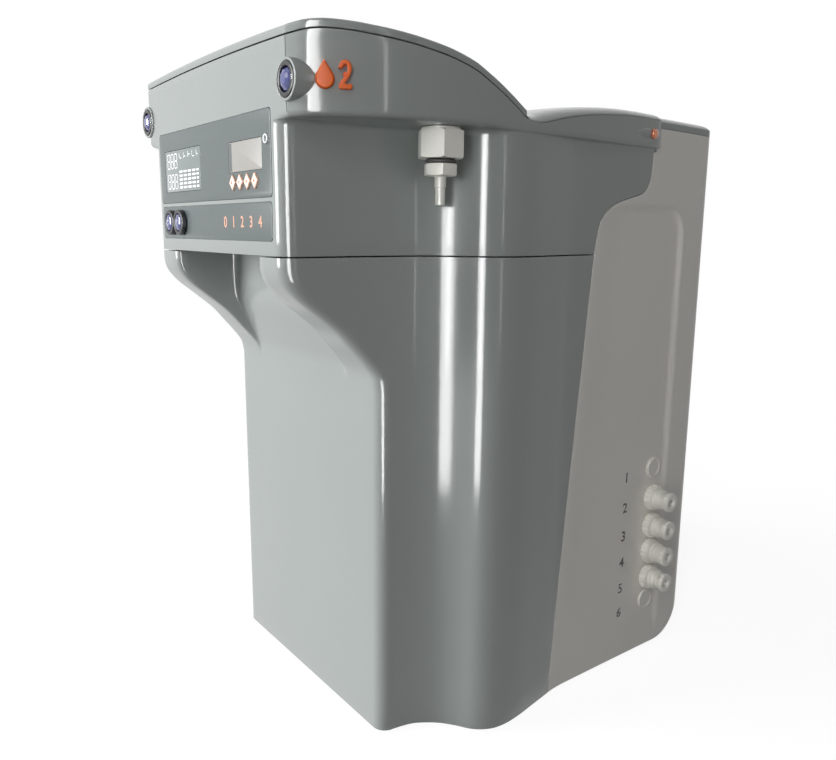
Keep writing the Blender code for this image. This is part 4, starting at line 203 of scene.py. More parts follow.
# Dispensing buttons, marks and lamps
BOSS_X, BOSS_HEIGHT = 124.5 * MM, 469.5 * MM
BOSS_RADIUS = 12.5 * MM
BOSS_PROUD = 1.5 * MM
BOSS_LENGTH = 17.0 * MM
BOSS_WALL = 1.7 * MM
BOSS_EDGE = 0.8 * MM
SIDE_WORDS = {1: "right", -1: "left"}

MARK_SETBACK, MARK_PITCH = 16.5 * MM, 10.6 * MM
MARK_MIDDLE_HEIGHT = 471.8 * MM
MARK_HEIGHT, MARK_WIDTH, MARK_THICKNESS = 16.5 * MM, 10.0 * MM, 3.4 * MM
MARK_SEAT = 0.35 * MM
MARK_EDGE = 0.5 * MM
PEG_RADIUS = 1.5 * MM
DROP_WIDTH = 11.5 * MM
NUMERAL_WIDTH = 8.5 * MM
NUMERAL_SHARES = {
    "right": ((0.02, 0.00), (0.96, 0.00), (0.96, 0.17), (0.42, 0.17), (0.80, 0.46), (0.94, 0.66),
              (0.90, 0.84), (0.70, 0.97), (0.45, 1.00), (0.18, 0.94), (0.03, 0.78), (0.02, 0.70),
              (0.30, 0.70), (0.36, 0.80), (0.50, 0.835), (0.62, 0.80), (0.66, 0.68), (0.58, 0.54),
              (0.02, 0.16)),
    "left": ((0.30, 0.00), (0.70, 0.00), (0.70, 1.00), (0.44, 1.00), (0.06, 0.78), (0.18, 0.62),
             (0.30, 0.70)),
}
SIDE_LAMP_SETBACK, SIDE_LAMP_HEIGHT = 310.0 * MM, 459.0 * MM
SIDE_LAMP_RADIUS, SIDE_LAMP_PROUD = 4.0 * MM, 3.0 * MM

# Outlets
NOZZLE_X, NOZZLE_SETBACK = 144.0 * MM, 101.7 * MM
NOZZLE_HEX_RADIUS, NOZZLE_HEX_HEIGHT = 16.2 * MM, 18.0 * MM
NOZZLE_PAD_RADIUS, NOZZLE_PAD_HEIGHT = 13.0 * MM, 1.5 * MM
NOZZLE_SHANK_RADIUS, NOZZLE_SHANK_LENGTH = 6.0 * MM, 12.0 * MM
NOZZLE_BORE_RADIUS = 2.2 * MM
SEAL_OUTER_RADIUS, SEAL_HEIGHT = 10.4 * MM, 2.8 * MM
NUT_HEX_RADIUS, NUT_HEIGHT = 11.6 * MM, 7.6 * MM
SPIGOT_RADIUS = 5.0 * MM
TIP_RADIUS, TIP_ROOT_RADIUS, TIP_LENGTH = 3.8 * MM, 4.6 * MM, 19.0 * MM
TIP_STEP, TIP_STEP_DEPTH = 7.7 * MM, 0.5 * MM

# Hose ports
PORT_SETBACK = 347.0 * MM
PORT_HEIGHTS = (145.0 * MM, 118.5 * MM, 93.5 * MM, 68.5 * MM)
BLANK_HEIGHTS = (173.0 * MM, 45.0 * MM)
PORT_NUT_RADIUS, PORT_NUT_LENGTH = 11.6 * MM, 7.0 * MM
PORT_BODY_RADIUS, PORT_RIB_RADIUS, PORT_BODY_LENGTH = 8.3 * MM, 9.1 * MM, 6.5 * MM
PORT_NECK_RADIUS, PORT_NECK_LENGTH = 6.8 * MM, 2.6 * MM
PORT_SHANK_RADIUS, PORT_SHANK_LENGTH = 6.5 * MM, 16.0 * MM
PORT_BORE_RADIUS = 3.3 * MM
COLLET_SLEEVE_RADIUS, COLLET_SLEEVE_LENGTH = 5.2 * MM, 9.0 * MM
COLLET_FLANGE_RADIUS, COLLET_FLANGE_LENGTH = 8.6 * MM, 4.5 * MM
COLLET_TRAVEL_ROOM = 1.9 * MM
BLANK_RADIUS, BLANK_PROUD = 9.2 * MM, 2.4 * MM
BLANK_LIP, BLANK_FLOOR_MARGIN, BLANK_FLOOR_DEPTH, BLANK_EDGE = 1.8 * MM, 2.4 * MM, 0.8 * MM, 0.7 * MM

# Underside and inside
FOOT_PLACES = {"front": (92.0 * MM, 98.0 * MM), "rear": (122.0 * MM, 330.0 * MM)}
BASE_LIFT = 0.5 * MM
INLET_X, INLET_HEIGHT = -95.0 * MM, 80.0 * MM
INLET_FLANGE_THICKNESS = 2.5 * MM
VALVE_PLACES = ((21.3 * MM, 156.0 * MM), (21.3 * MM, 188.0 * MM))
MANIFOLD_TOP = 373.0 * MM
HOSE_RADIUS = 3.0 * MM
HOSE_STEPS, HOSE_SIDES = 90, 20
# In millimetres, from each valve to its outlet
HOSE_ROUTES = {
    "right": ((23, 156, 424), (48, 158, 431), (90, 158, 431), (126, 154, 432), (141, 142, 444),
              (144, 131, 459), (144, 118, 472), (144, 105.5, 474), (144, 102.2, 468)),
    "left": ((20, 189, 424), (-4, 194, 432), (-50, 196, 433), (-92, 180, 431), (-126, 155, 432),
             (-141, 142, 444), (-144, 131, 459), (-144, 118, 472), (-144, 105.5, 474),
             (-144, 102.2, 468)),
}

# Fineness of the surfaces
CORNER_STEPS, ARC_STEPS, SIDES = 12, 6, 64
CHANNEL_STEPS, HORN_FACE_STEPS, TRUNK_ROWS = 10, 5, 14
FASCIA_STEPS, WALL_ROWS, RIM_ROWS, BOUNDARY_STEPS, HEAD_FLOOR_STEPS = 20, 6, 8, 56, 20
REAR_SIDE_STEPS, REAR_PORT_STEPS, REAR_CORNER_STEPS, BACK_STEPS = 20, 28, 10, 8
REAR_BASE_ROWS, REAR_ROWS, REAR_TOP_ROWS = 12, 44, 6
COVER_RIM_ROWS, COVER_REAR_ROWS, LID_ROWS, LID_COLUMNS = 56, 20, 64, 24
KNUCKLE_SIDES, SMALL_SIDES = 32, 24
BEND_SHARE = 0.45
SMOOTH_ANGLE = radians(35)
SAME_PLACE = 0.001 * MM
EDGE_ROUNDING = 0.5 * MM


def casing_datum():
    """Where the casing's datum lies in the frame."""
    low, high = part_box("lower_housing")
    return Vector(((low.x + high.x) / 2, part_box("rear_housing")[1].y - BODY_DEPTH, low.z))


DATUM = casing_datum()


# Curves, the same as those of the solids

def cubic(low, high, start, end, s):
    """Value at share s of a curve from low to high that leaves and arrives with given slopes."""
    rise = high - low
    return low + s * (start + s * (3 * rise - 2 * start - end + s * (start + end - 2 * rise)))


def smooth_value(table, t):
    """Value at t of a smooth curve through (t, value) pairs, level beyond both ends."""
    if t <= table[0][0]:
        return table[0][1]
    if t >= table[-1][0]:
        return table[-1][1]
    k = next(i for i in range(len(table) - 1) if t <= table[i + 1][0])

    def slope(i):
        low, high = table[max(i - 1, 0)], table[min(i + 1, len(table) - 1)]
        return (high[1] - low[1]) / (high[0] - low[0])

    (t0, v0), (t1, v1) = table[k], table[k + 1]
    span = t1 - t0
    return cubic(v0, v1, slope(k) * span, slope(k + 1) * span, (t - t0) / span)


def smooth_step(t):
    t = min(max(t, 0.0), 1.0)
    return t * t * (3 - 2 * t)


def spread(start, end, count):
    """Even places from start to end, both included."""
    return [start + (end - start) * k / count for k in range(count + 1)]


def quarter(count):
    """Sines and cosines of even steps through a quarter turn."""
    return [(sin(pi / 2 * k / count), cos(pi / 2 * k / count)) for k in range(count + 1)]


def side_x(y):
    share = smooth_value(SIDE_PLAN_SHARES, y / BODY_DEPTH)
    return NECK_HALF_WIDTH + share * (BULGE_HALF_WIDTH - NECK_HALF_WIDTH)


def rim_x(y):
    share = smooth_value(RIM_PLAN_SHARES, y / RIM_LENGTH)
    return FASCIA_HALF_WIDTH + share * (RIM_HALF_WIDTH - FASCIA_HALF_WIDTH)


def edge_x(y):
    """Half width of the rim and the lid, with the crease at the end of the flat fascia."""
    if y >= FASCIA_CORNER_RUN:
        return rim_x(y)
    high = rim_x(FASCIA_CORNER_RUN)
    end = (rim_x(FASCIA_CORNER_RUN + MM) - high) / MM * FASCIA_CORNER_RUN
    return cubic(FASCIA_HALF_WIDTH - FASCIA_EDGE_RADIUS, high, FASCIA_CORNER_SLOPE * FASCIA_CORNER_RUN, end,
                 y / FASCIA_CORNER_RUN)


def rim_top(x, y):
    side = RIM_BASE_HEIGHT + RIM_RISE * smooth_value(TOP_PROFILE_SHARES, y / BODY_DEPTH)
    across_share = min(abs(x) / FASCIA_HALF_WIDTH, 1.0)
    return side + FASCIA_CROWN * (1 - across_share ** 2) * (1 - smooth_step(y / FASCIA_CROWN_DEPTH))


def rear_edge(z):
    """Where the grey wall ends and the white housing starts, at a height."""
    if z <= SEAM_HEIGHT:
        return REAR_EDGE_AT_BASE + (REAR_EDGE_AT_SEAM - REAR_EDGE_AT_BASE) * z / SEAM_HEIGHT
    share = smooth_value(BOUNDARY_SHARES, (z - SEAM_HEIGHT) / (BOUNDARY_TOP - SEAM_HEIGHT))
    return REAR_EDGE_AT_SEAM + share * (BOUNDARY_END - REAR_EDGE_AT_SEAM)


def front_corner(front):
    centre_y = front + FRONT_CORNER_RADIUS
    centre_x = side_x(centre_y) - FRONT_CORNER_RADIUS
    return [(centre_x + FRONT_CORNER_RADIUS * s, centre_y - FRONT_CORNER_RADIUS * c)
            for s, c in quarter(CORNER_STEPS)]


def mirrored(half):
    """Whole outline, from the left end round the front to the right end."""
    return [(-x, y) for x, y in reversed(half[1:])] + half


def inset(outline, distances):
    """Points of an open outline, each moved to its left by its own distance."""
    moved = []
    count = len(outline)
    for k, (x, y) in enumerate(outline):
        tangents = []
        for a, b in ((k - 1, k), (k, k + 1)):
            if a >= 0 and b < count:
                (ax, ay), (bx, by) = outline[a], outline[b]
                dx, dy = bx - ax, by - ay
                length = hypot(dx, dy)
                tangents.append((dx / length, dy / length))
        mean = Vector((sum(t[0] for t in tangents), sum(t[1] for t in tangents)))
        mean.normalize()
        along = mean[0] * tangents[0][0] + mean[1] * tangents[0][1]
        reach = distances[k] / max(along, sqrt(0.5))
        moved.append((x - mean[1] * reach, y + mean[0] * reach))
    return moved


# Solids

class Solid:
    """Points and faces of one or more closed bodies."""

    def __init__(self):
        self.points = []
        self.faces = []

    def add(self, points, faces):
        start = len(self.points)
        self.points += [Vector(p) for p in points]
        self.faces += [tuple(start + i for i in face) for face in faces]
        return self

    def moved(self, matrix):
        return Solid().add([matrix @ p for p in self.points], self.faces)

    def join(self, *others):
        for other in others:
            self.add(other.points, other.faces)
        return self


def grid_shell(outer, inner):
    """Closed body between two grids of points with the same rows and columns."""
    rows, columns = len(outer), len(outer[0])
    points = [p for row in outer for p in row] + [p for row in inner for p in row]
    half = rows * columns

    def at(layer, j, i):
        return layer * half + j * columns + i

    faces = []
    for j in range(rows - 1):
        for i in range(columns - 1):
            faces.append((at(0, j, i), at(0, j, i + 1), at(0, j + 1, i + 1), at(0, j + 1, i)))
            faces.append((at(1, j, i), at(1, j + 1, i), at(1, j + 1, i + 1), at(1, j, i + 1)))
    for i in range(columns - 1):
        for j in (0, rows - 1):
            faces.append((at(0, j, i), at(1, j, i), at(1, j, i + 1), at(0, j, i + 1)))
    for j in range(rows - 1):
        for i in (0, columns - 1):
            faces.append((at(0, j, i), at(0, j + 1, i), at(1, j + 1, i), at(1, j, i)))
    return Solid().add(points, faces)


def loft(rings):
    """Closed body through rings of points with equal counts, flat at both ends."""
    count = len(rings[0])
    points = [p for ring in rings for p in ring]
    faces = [tuple(range(count)), tuple(range(len(points) - count, len(points)))]
    for j in range(len(rings) - 1):
        for k in range(count):
            n = (k + 1) % count
            a, b = j * count, (j + 1) * count
            faces.append((a + k, a + n, b + n, b + k))
    return Solid().add(points, faces)


def prism(outline, low, high, axis="z"):
    """Outline extruded along an axis; its points give the other two coordinates in order."""
    def place(a, b, c):
        return {"x": (c, a, b), "y": (a, c, b), "z": (a, b, c)}[axis]

    return loft([[place(a, b, c) for a, b in outline] for c in (low, high)])


def block(low, high):
    (x0, y0, z0), (x1, y1, z1) = low, high
    return prism([(x0, y0), (x1, y0), (x1, y1), (x0, y1)], z0, z1)


def in_metres(points):
    """Points given in millimetres."""
    return [tuple(MM * value for value in point) for point in points]


def axes_at(place, x, y, z):
    """Frame at a place with given axes."""
    return Matrix.Translation(place) @ Matrix((x, y, z)).transposed().to_4x4()


def facing(centre, direction):
    """Frame at a centre with its z axis along a direction."""
    turn = Vector(UP).rotation_difference(Vector(direction).normalized()).to_matrix().to_4x4()
    return Matrix.Translation(centre) @ turn


def turned(profile, centre=(0, 0, 0), direction=UP, sides=SIDES, ripple=None):
    """Profile of (radius, height) points turned about a direction through a centre.

    A profile that starts and ends on the axis is a solid piece. Any other is a ring. The
    ripple, where there is one, gives a change of radius at (angle, radius, height).
    """
    points, rings, faces = [], [], []
    for radius, height in profile:
        if radius == 0:
            rings.append([len(points)])
            points.append(Vector((0, 0, height)))
            continue
        rings.append(list(range(len(points), len(points) + sides)))
        for k in range(sides):
            angle = 2 * pi * k / sides
            reach = radius + (ripple(angle, radius, height) if ripple else 0)
            points.append(Vector((reach * cos(angle), reach * sin(angle), height)))
    pairs = list(zip(rings, rings[1:])) + ([(rings[-1], rings[0])] if profile[0][0] else [])
    for a, b in pairs:
        for k in range(sides):
            n = (k + 1) % sides
            if len(a) == 1:
                faces.append((a[0], b[k], b[n]))
            elif len(b) == 1:
                faces.append((a[k], a[n], b[0]))
            else:
                faces.append((a[k], a[n], b[n], b[k]))
    return Solid().add(points, faces).moved(facing(centre, direction))


def bend(before, here, after, radius, steps):
    """Points of a rounded corner between two straight runs."""
    here = Vector(here)
    before, after = Vector(before) - here, Vector(after) - here
    reach = min(radius, BEND_SHARE * before.length, BEND_SHARE * after.length)
    start, end = here + before.normalized() * reach, here + after.normalized() * reach
    points = [start * (1 - s) ** 2 + here * (2 * s * (1 - s)) + end * s ** 2 for s in spread(0, 1, steps)]
    return [(point.x, point.y) for point in points]


def rounded(profile, radius, steps=4):
    """Profile whose corners are rounded; the first and last points stay."""
    result = [profile[0]]
    for corner in zip(profile, profile[1:], profile[2:]):
        result += bend(*corner, radius, steps)
    return result + [profile[-1]]


def rod(radius, low, high, centre, direction, sides=SIDES):
    return turned([(0, low), (radius, low), (radius, high), (0, high)], centre, direction, sides)


def rounded_outline(points, radius, steps=ARC_STEPS):
    """Closed outline with its corners rounded."""
    result = []
    for k, here in enumerate(points):
        result += bend(points[k - 1], here, points[(k + 1) % len(points)], radius, steps)
    return result


def rounded_rectangle(x0, z0, x1, z1, radius):
    outline = []
    corners = ((x1 - radius, z1 - radius), (x0 + radius, z1 - radius),
               (x0 + radius, z0 + radius), (x1 - radius, z0 + radius))
    for turn, (cx, cz) in enumerate(corners):
        for k in range(ARC_STEPS + 1):
            angle = pi / 2 * (turn + k / ARC_STEPS)
            outline.append((cx + radius * cos(angle), cz + radius * sin(angle)))
    return outline


def softened(outline, low, high, edge, steps=3):
    """Flat plate of an outline, extruded along z, with its upper edge rounded."""
    closed = [outline[-1]] + outline + [outline[0]]
    rings = [[(x, y, low) for x, y in outline]]
    for s, c in quarter(steps):
        moved = inset(closed, [edge * (1 - c)] * len(closed))[1:-1]
        rings.append([(x, y, high - edge * (1 - s)) for x, y in moved])
    return loft(rings)


# Camera, from the photograph

PHOTO_WIDTH, FOCAL_PIXELS, SENSOR_WIDTH = 836, 775.85, 36.0
CAMERA_YAW, CAMERA_PITCH, CAMERA_ROLL = radians(52.923), radians(10.913), radians(0.4414)
CAMERA_PLACE = (560.7 * MM, -230.5 * MM, 381.7 * MM)
CAMERA_CLIP = (0.01, 50)


def camera():
    data = bpy.data.cameras.new("camera")
    data.sensor_width = SENSOR_WIDTH
    data.lens = FOCAL_PIXELS * SENSOR_WIDTH / PHOTO_WIDTH
    data.clip_start, data.clip_end = CAMERA_CLIP
    level = Vector((cos(CAMERA_YAW), sin(CAMERA_YAW), 0))
    ahead = Vector((-level.y * cos(CAMERA_PITCH), level.x * cos(CAMERA_PITCH), -sin(CAMERA_PITCH)))
    over = level.cross(ahead)
    right = level * cos(CAMERA_ROLL) + over * sin(CAMERA_ROLL)
    up = over * cos(CAMERA_ROLL) - level * sin(CAMERA_ROLL)
    thing = bpy.data.objects.new("camera", data)
    thing.matrix_world = axes_at(DATUM + Vector(CAMERA_PLACE), right, up, -ahead)
    bpy.context.scene.collection.objects.link(thing)
    bpy.context.scene.camera = thing


# Materials

def set_up(node, **values):
    """Set a node's inputs, where _ stands for a space, or else its properties."""
    for key, value in values.items():
        entry = key.replace("_", " ")
        if entry in node.inputs:
            node.inputs[entry].default_value = value
        else:
            setattr(node, key, value)
    return node


def add_node(tree, kind, **values):
    return set_up(tree.nodes.new("ShaderNode" + kind), **values)


def wire(tree, *rows):
    """Links, each from a node's output to another node's input."""
    for source, output, target, entry in rows:
        tree.links.new(source.outputs[output], target.inputs[entry])


def shader(name):
    """New material with its node tree and its main shader."""
    material = bpy.data.materials.new(name)
    material.use_nodes = True
    return material, material.node_tree, material.node_tree.nodes["Principled BSDF"]


def plastic(name, colour, roughness, coat=0.0, speckle=0.03, ripple=0.0, grain=0.0, scale=60.0, shine=0.5):
    """Moulded plastic: a faint drift of tone, uneven gloss, and ripple or grain in its surface."""
    material, tree, main = shader(name)
    place = add_node(tree, "TexCoord")
    drift = add_node(tree, "TexNoise", Scale=9.0, Detail=3.0)
    fine = add_node(tree, "TexNoise", Scale=scale * 12, Detail=4.0)
    waves = add_node(tree, "TexNoise", Scale=scale, Detail=2.0)
    tone = add_node(tree, "MixRGB", blend_type="MIX", Color1=(*[c * (1 - speckle) for c in colour], 1),
                    Color2=(*[min(c * (1 + speckle), 1) for c in colour], 1))
    gloss = add_node(tree, "MapRange", To_Min=roughness * 0.85, To_Max=roughness * 1.15)
    bump = add_node(tree, "Bump", Strength=ripple, Distance=0.0005)
    skin = add_node(tree, "Bump", Strength=grain, Distance=0.0001)
    set_up(main, Specular_IOR_Level=shine, Coat_Weight=coat, Coat_Roughness=0.06)
    wire(tree, *[(place, "Object", noise, "Vector") for noise in (drift, fine, waves)],
         (drift, "Fac", tone, "Fac"), (tone, "Color", main, "Base Color"), (fine, "Fac", gloss, "Value"),
         (gloss, "Result", main, "Roughness"), (waves, "Fac", bump, "Height"), (fine, "Fac", skin, "Height"),
         (bump, "Normal", skin, "Normal"), (skin, "Normal", main, "Normal"))
    return material


def metal(name, colour, roughness):
    """Sheet metal with a fine brushed streak."""
    material, tree, main = shader(name)
    place = add_node(tree, "TexCoord")
    stretch = add_node(tree, "Mapping", Scale=(8, 700, 700))
    streak = add_node(tree, "TexNoise", Scale=3.0, Detail=3.0)
    gloss = add_node(tree, "MapRange", To_Min=roughness * 0.7, To_Max=roughness * 1.4)
    set_up(main, Base_Color=(*colour, 1), Metallic=1.0)
    wire(tree, (place, "Object", stretch, "Vector"), (stretch, "Vector", streak, "Vector"),
         (streak, "Fac", gloss, "Value"), (gloss, "Result", main, "Roughness"))
    return material


PLASTICS = {
    "grey_shell": ((0.295, 0.320, 0.310), 0.13, {"ripple": 0.09, "shine": 0.36}),
    "white_shell": ((0.76, 0.735, 0.69), 0.30, {"ripple": 0.05, "grain": 0.1, "shine": 0.35}),
    "panel": ((0.100, 0.119, 0.119), 0.26, {"grain": 0.02, "scale": 150, "shine": 0.35}),
    "black": ((0.015, 0.015, 0.018), 0.22, {}),
    "blue": ((0.035, 0.045, 0.20), 0.10, {"coat": 1.0}),
    "orange": ((0.80, 0.13, 0.012), 0.42, {"speckle": 0.05, "grain": 0.2, "shine": 0.12}),
    "key": ((0.80, 0.50, 0.38), 0.40, {}),
    "lens": ((0.42, 0.46, 0.45), 0.08, {"coat": 0.8}),
    "fitting": ((0.88, 0.865, 0.80), 0.36, {"grain": 0.05}),
    "rubber": ((0.02, 0.02, 0.02), 0.75, {"grain": 0.5}),
    "pump_metal": ((0.03, 0.03, 0.035), 0.30, {"ripple": 0.15}),
    "board": ((0.02, 0.17, 0.06), 0.40, {}),
    "cartridge": ((0.78, 0.80, 0.83), 0.35, {}),
    "hose": ((0.80, 0.82, 0.84), 0.25, {}),
    "meter": ((0.20, 0.23, 0.23), 0.12, {"coat": 0.3}),
    "lcd": ((0.31, 0.30, 0.28), 0.28, {"scale": 200}),
    "print_white": ((0.85, 0.86, 0.86), 0.45, {}),
    "print_copper": ((0.72, 0.36, 0.24), 0.40, {}),
    "key_cream": ((0.86, 0.80, 0.74), 0.38, {}),
    "lamp": ((0.86, 0.20, 0.05), 0.12, {"coat": 0.8}),
}
LOOKS = {name: plastic(name + "_look", colour, roughness, **more)
         for name, (colour, roughness, more) in PLASTICS.items()}
LOOKS["steel"] = metal("steel_look", (0.58, 0.58, 0.60), 0.30)
LOOKS["case_metal"] = metal("case_metal_look", (0.70, 0.70, 0.71), 0.35)


# Pieces

def piece(name, solid, look, body="casing", replaces=(), slot=None, edge=0.0, moved=None):
    """Piece of the scene, made of closed bodies, that rides on a body of the model."""
    mesh = bpy.data.meshes.new(name)
    points = [(moved @ p if moved else p) + DATUM for p in solid.points]
    mesh.from_pydata(points, [], solid.faces)
    shape = bmesh.new()
    shape.from_mesh(mesh)
    bmesh.ops.remove_doubles(shape, verts=shape.verts, dist=SAME_PLACE)
    bmesh.ops.recalc_face_normals(shape, faces=shape.faces)
    shape.to_mesh(mesh)
    shape.free()
    mesh.shade_smooth()
    mesh.set_sharp_from_angle(angle=SMOOTH_ANGLE)
    thing = bpy.data.objects.new(name, mesh)
    bpy.context.scene.collection.objects.link(thing)
    if look:
        mesh.materials.append(LOOKS[look])
    if edge:
        round_edges(thing, edge)
    if body:
        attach(thing, body)
        if replaces:
            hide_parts(*replaces)
    return thing


def round_edges(thing, width):
    bevel = thing.modifiers.new("edges", "BEVEL")
    bevel.width = width
    bevel.segments = 2
    bevel.limit_method = "ANGLE"
    bevel.angle_limit = SMOOTH_ANGLE
    bevel.use_clamp_overlap = True
    apply_modifiers(thing)


def apply_modifiers(thing):
    """Keep a piece's mesh as its modifiers leave it."""
    graph = bpy.context.evaluated_depsgraph_get()
    graph.update()
    mesh = bpy.data.meshes.new_from_object(thing.evaluated_get(graph))
    thing.modifiers.clear()
    old, thing.data = thing.data, mesh
    bpy.data.meshes.remove(old)
    mesh.shade_smooth()
    mesh.set_sharp_from_angle(angle=SMOOTH_ANGLE)


def combine(thing, *steps):
    """Add solids to a piece one after the other, or cut them out."""
    cutters = []
    for operation, solid in steps:
        cutter = piece(thing.name + "_cutter", solid, None, body=None)
        cutters.append(cutter)
        modifier = thing.modifiers.new(operation.lower(), "BOOLEAN")
        modifier.operation = operation
        modifier.solver = "EXACT"
        modifier.object = cutter
    apply_modifiers(thing)
    for cutter in cutters:
        bpy.data.objects.remove(cutter)


# Lower housing

LOWER_SIDE_STEPS = 72
FLARE_ROWS = 36
STEP_COLUMNS = 28


def lower_row(z):
    """Outline of the lower housing at a height, from its left rear edge to its right one."""
    fall = (SEAM_HEIGHT - z) / FLARE_HEIGHT
    front = FRONT_SETBACK * smooth_value(HORN_FRONT_SHARES, fall)
    back = max(front, FRONT_SETBACK * smooth_value(CHANNEL_BACK_SHARES, fall))
    step_start = HORN_EDGE - HORN_EDGE_WIDTH / 2
    half = [(x, back) for x in spread(0, step_start, CHANNEL_STEPS)[:-1]]
    half += [(step_start + HORN_EDGE_WIDTH * share,
              back + (front - back) * smooth_value(HORN_STEP_SHARES, share))
             for share in spread(0, 1, STEP_COLUMNS)]
    corner = front_corner(front)
    half += [(x, front) for x in spread(half[-1][0], corner[0][0], HORN_FACE_STEPS)[1:-1]]
    half += corner
    half += [(side_x(y), y) for y in spread(corner[-1][1], rear_edge(z), LOWER_SIDE_STEPS)[1:]]
    return mirrored(half)


def lower_housing():
    heights = spread(0, SEAM_HEIGHT - FLARE_HEIGHT, TRUNK_ROWS)
    heights += spread(SEAM_HEIGHT - FLARE_HEIGHT, SEAM_HEIGHT - SEAM_GAP / 2, FLARE_ROWS)[1:]
    outer, inner = [], []
    for z in heights:
        row = lower_row(z)
        outer.append([Vector((x, y, z)) for x, y in row])
        inner.append([Vector((x, y, z)) for x, y in inset(row, [WALL] * len(row))])
    piece("front_housing", grid_shell(outer, inner), "grey_shell", replaces=["lower_housing"],
          edge=EDGE_ROUNDING)


# Head

HEAD_SIDE_STEPS = 5
LEDGE_SHARE = 0.7


def head_columns():
    """Right half of the head's columns: points on the wall and on the rim above each."""
    corner = front_corner(0)
    flat = [(x, 0) for x in spread(0, corner[0][0], FASCIA_STEPS)[:-1]]
    wall, rim = flat + corner, flat[:]
    crease = FASCIA_HALF_WIDTH - FASCIA_EDGE_RADIUS
    ledge = int(CORNER_STEPS * LEDGE_SHARE)
    rim += [(x, 0) for x in spread(corner[0][0], crease, ledge)]
    pairs = [(share or 0, rim_share) for share, rim_share in HEAD_SIDE_SHARES]
    start = pairs[0][1] * RIM_LENGTH
    rim += [(edge_x(y), y) for y in spread(0, start, CORNER_STEPS - ledge + 1)[1:-1]]
    places = [(corner[-1][1], rim[-1][1])]
    for share, rim_share in pairs:
        y = rim_share * RIM_LENGTH
        places.append((share * BODY_DEPTH or y, y))
    places.append((RIM_LENGTH - WALL, RIM_LENGTH))
    for (wall_a, rim_a), (wall_b, rim_b) in zip(places, places[1:]):
        for s in spread(0, 1, HEAD_SIDE_STEPS)[1:]:
            y = wall_a + (wall_b - wall_a) * s
            wall.append((side_x(y), y))
            y = rim_a + (rim_b - rim_a) * s
            rim.append((edge_x(y), y))
    return mirrored(wall), mirrored(rim)


def head_overhang(wall, rim):
    (x, y), (rim_point_x, rim_point_y) = wall, rim
    if y > FRONT_CORNER_RADIUS:
        return rim_x(y) - abs(x)
    return hypot(rim_point_x - x, rim_point_y - y)


def head_shell():
    wall, rim = head_columns()
    overhang = [head_overhang(a, b) for a, b in zip(wall, rim)]
    fillet = [min(CEILING_FILLET, FILLET_SHARE * gap) for gap in overhang]
    rounding = [min(RIM_EDGE_RADIUS, RIM_ROUND_SHARE * gap) for gap in overhang]
    low = SEAM_HEIGHT + SEAM_GAP / 2
    ceiling = RIM_BASE_HEIGHT - CEILING_SLOPE
    fillet_start = ceiling - CEILING_FILLET

    def layer(outline, distances, heights):
        return [Vector((x, y, z)) for (x, y), z in zip(inset(outline, distances), heights)]

    def level(z):
        return [z] * len(wall)

    def rows(depth, lift):
        result = [layer(wall, level(depth), level(z + lift / 2 * s))
                  for z, s in zip(spread(low, fillet_start, WALL_ROWS), spread(0, 1, WALL_ROWS))]
        for k, (s, c) in enumerate(quarter(ARC_STEPS)[1:]):
            rise = fillet_start + s * CEILING_FILLET + lift * (0.5 + 0.5 * (k + 1) / ARC_STEPS)
            result.append(layer(wall, [depth - (1 - c) * f for f in fillet], level(rise)))
        for k, (s, c) in enumerate(quarter(ARC_STEPS)):
            rise = RIM_BASE_HEIGHT + RIM_EDGE_RADIUS * (1 - c) + lift * (1 - 2 * k / (3 * ARC_STEPS))
            result.append(layer(rim, [depth + r * (1 - s) for r in rounding], level(rise)))
        start = RIM_BASE_HEIGHT + RIM_EDGE_RADIUS + lift / 3
        for s in spread(0, 1, RIM_ROWS)[1:]:
            result.append(layer(rim, level(depth),
                                [start + (rim_top(x, y) - start) * s for x, y in rim]))
        return result

    return grid_shell(rows(0, 0), rows(WALL, WALL))


def boundary_line():
    """Curved edge of the head's wall, from the seam up to the rim."""
    return [(rear_edge(z), z) for z in spread(SEAM_HEIGHT, BOUNDARY_TOP, BOUNDARY_STEPS)]


def boss_place(side):
    return Vector((side * BOSS_X, -BOSS_PROUD, BOSS_HEIGHT))


def key_places():
    return [FIRST_KEY_X + KEY_PITCH * k for k in range(KEY_COUNT)]


def head_floor():
    corner = front_corner(0)
    places = spread(corner[-1][1], HEAD_FLOOR_DEPTH, HEAD_FLOOR_STEPS)[1:]
    whole = mirrored([(0, 0)] + corner + [(side_x(y), y) for y in places])
    outline = inset(whole, [WALL / 2] * len(whole))
    low = SEAM_HEIGHT + SEAM_GAP / 2
    return prism(outline, low + FIT, low + FIT + HEAD_FLOOR_THICKNESS)


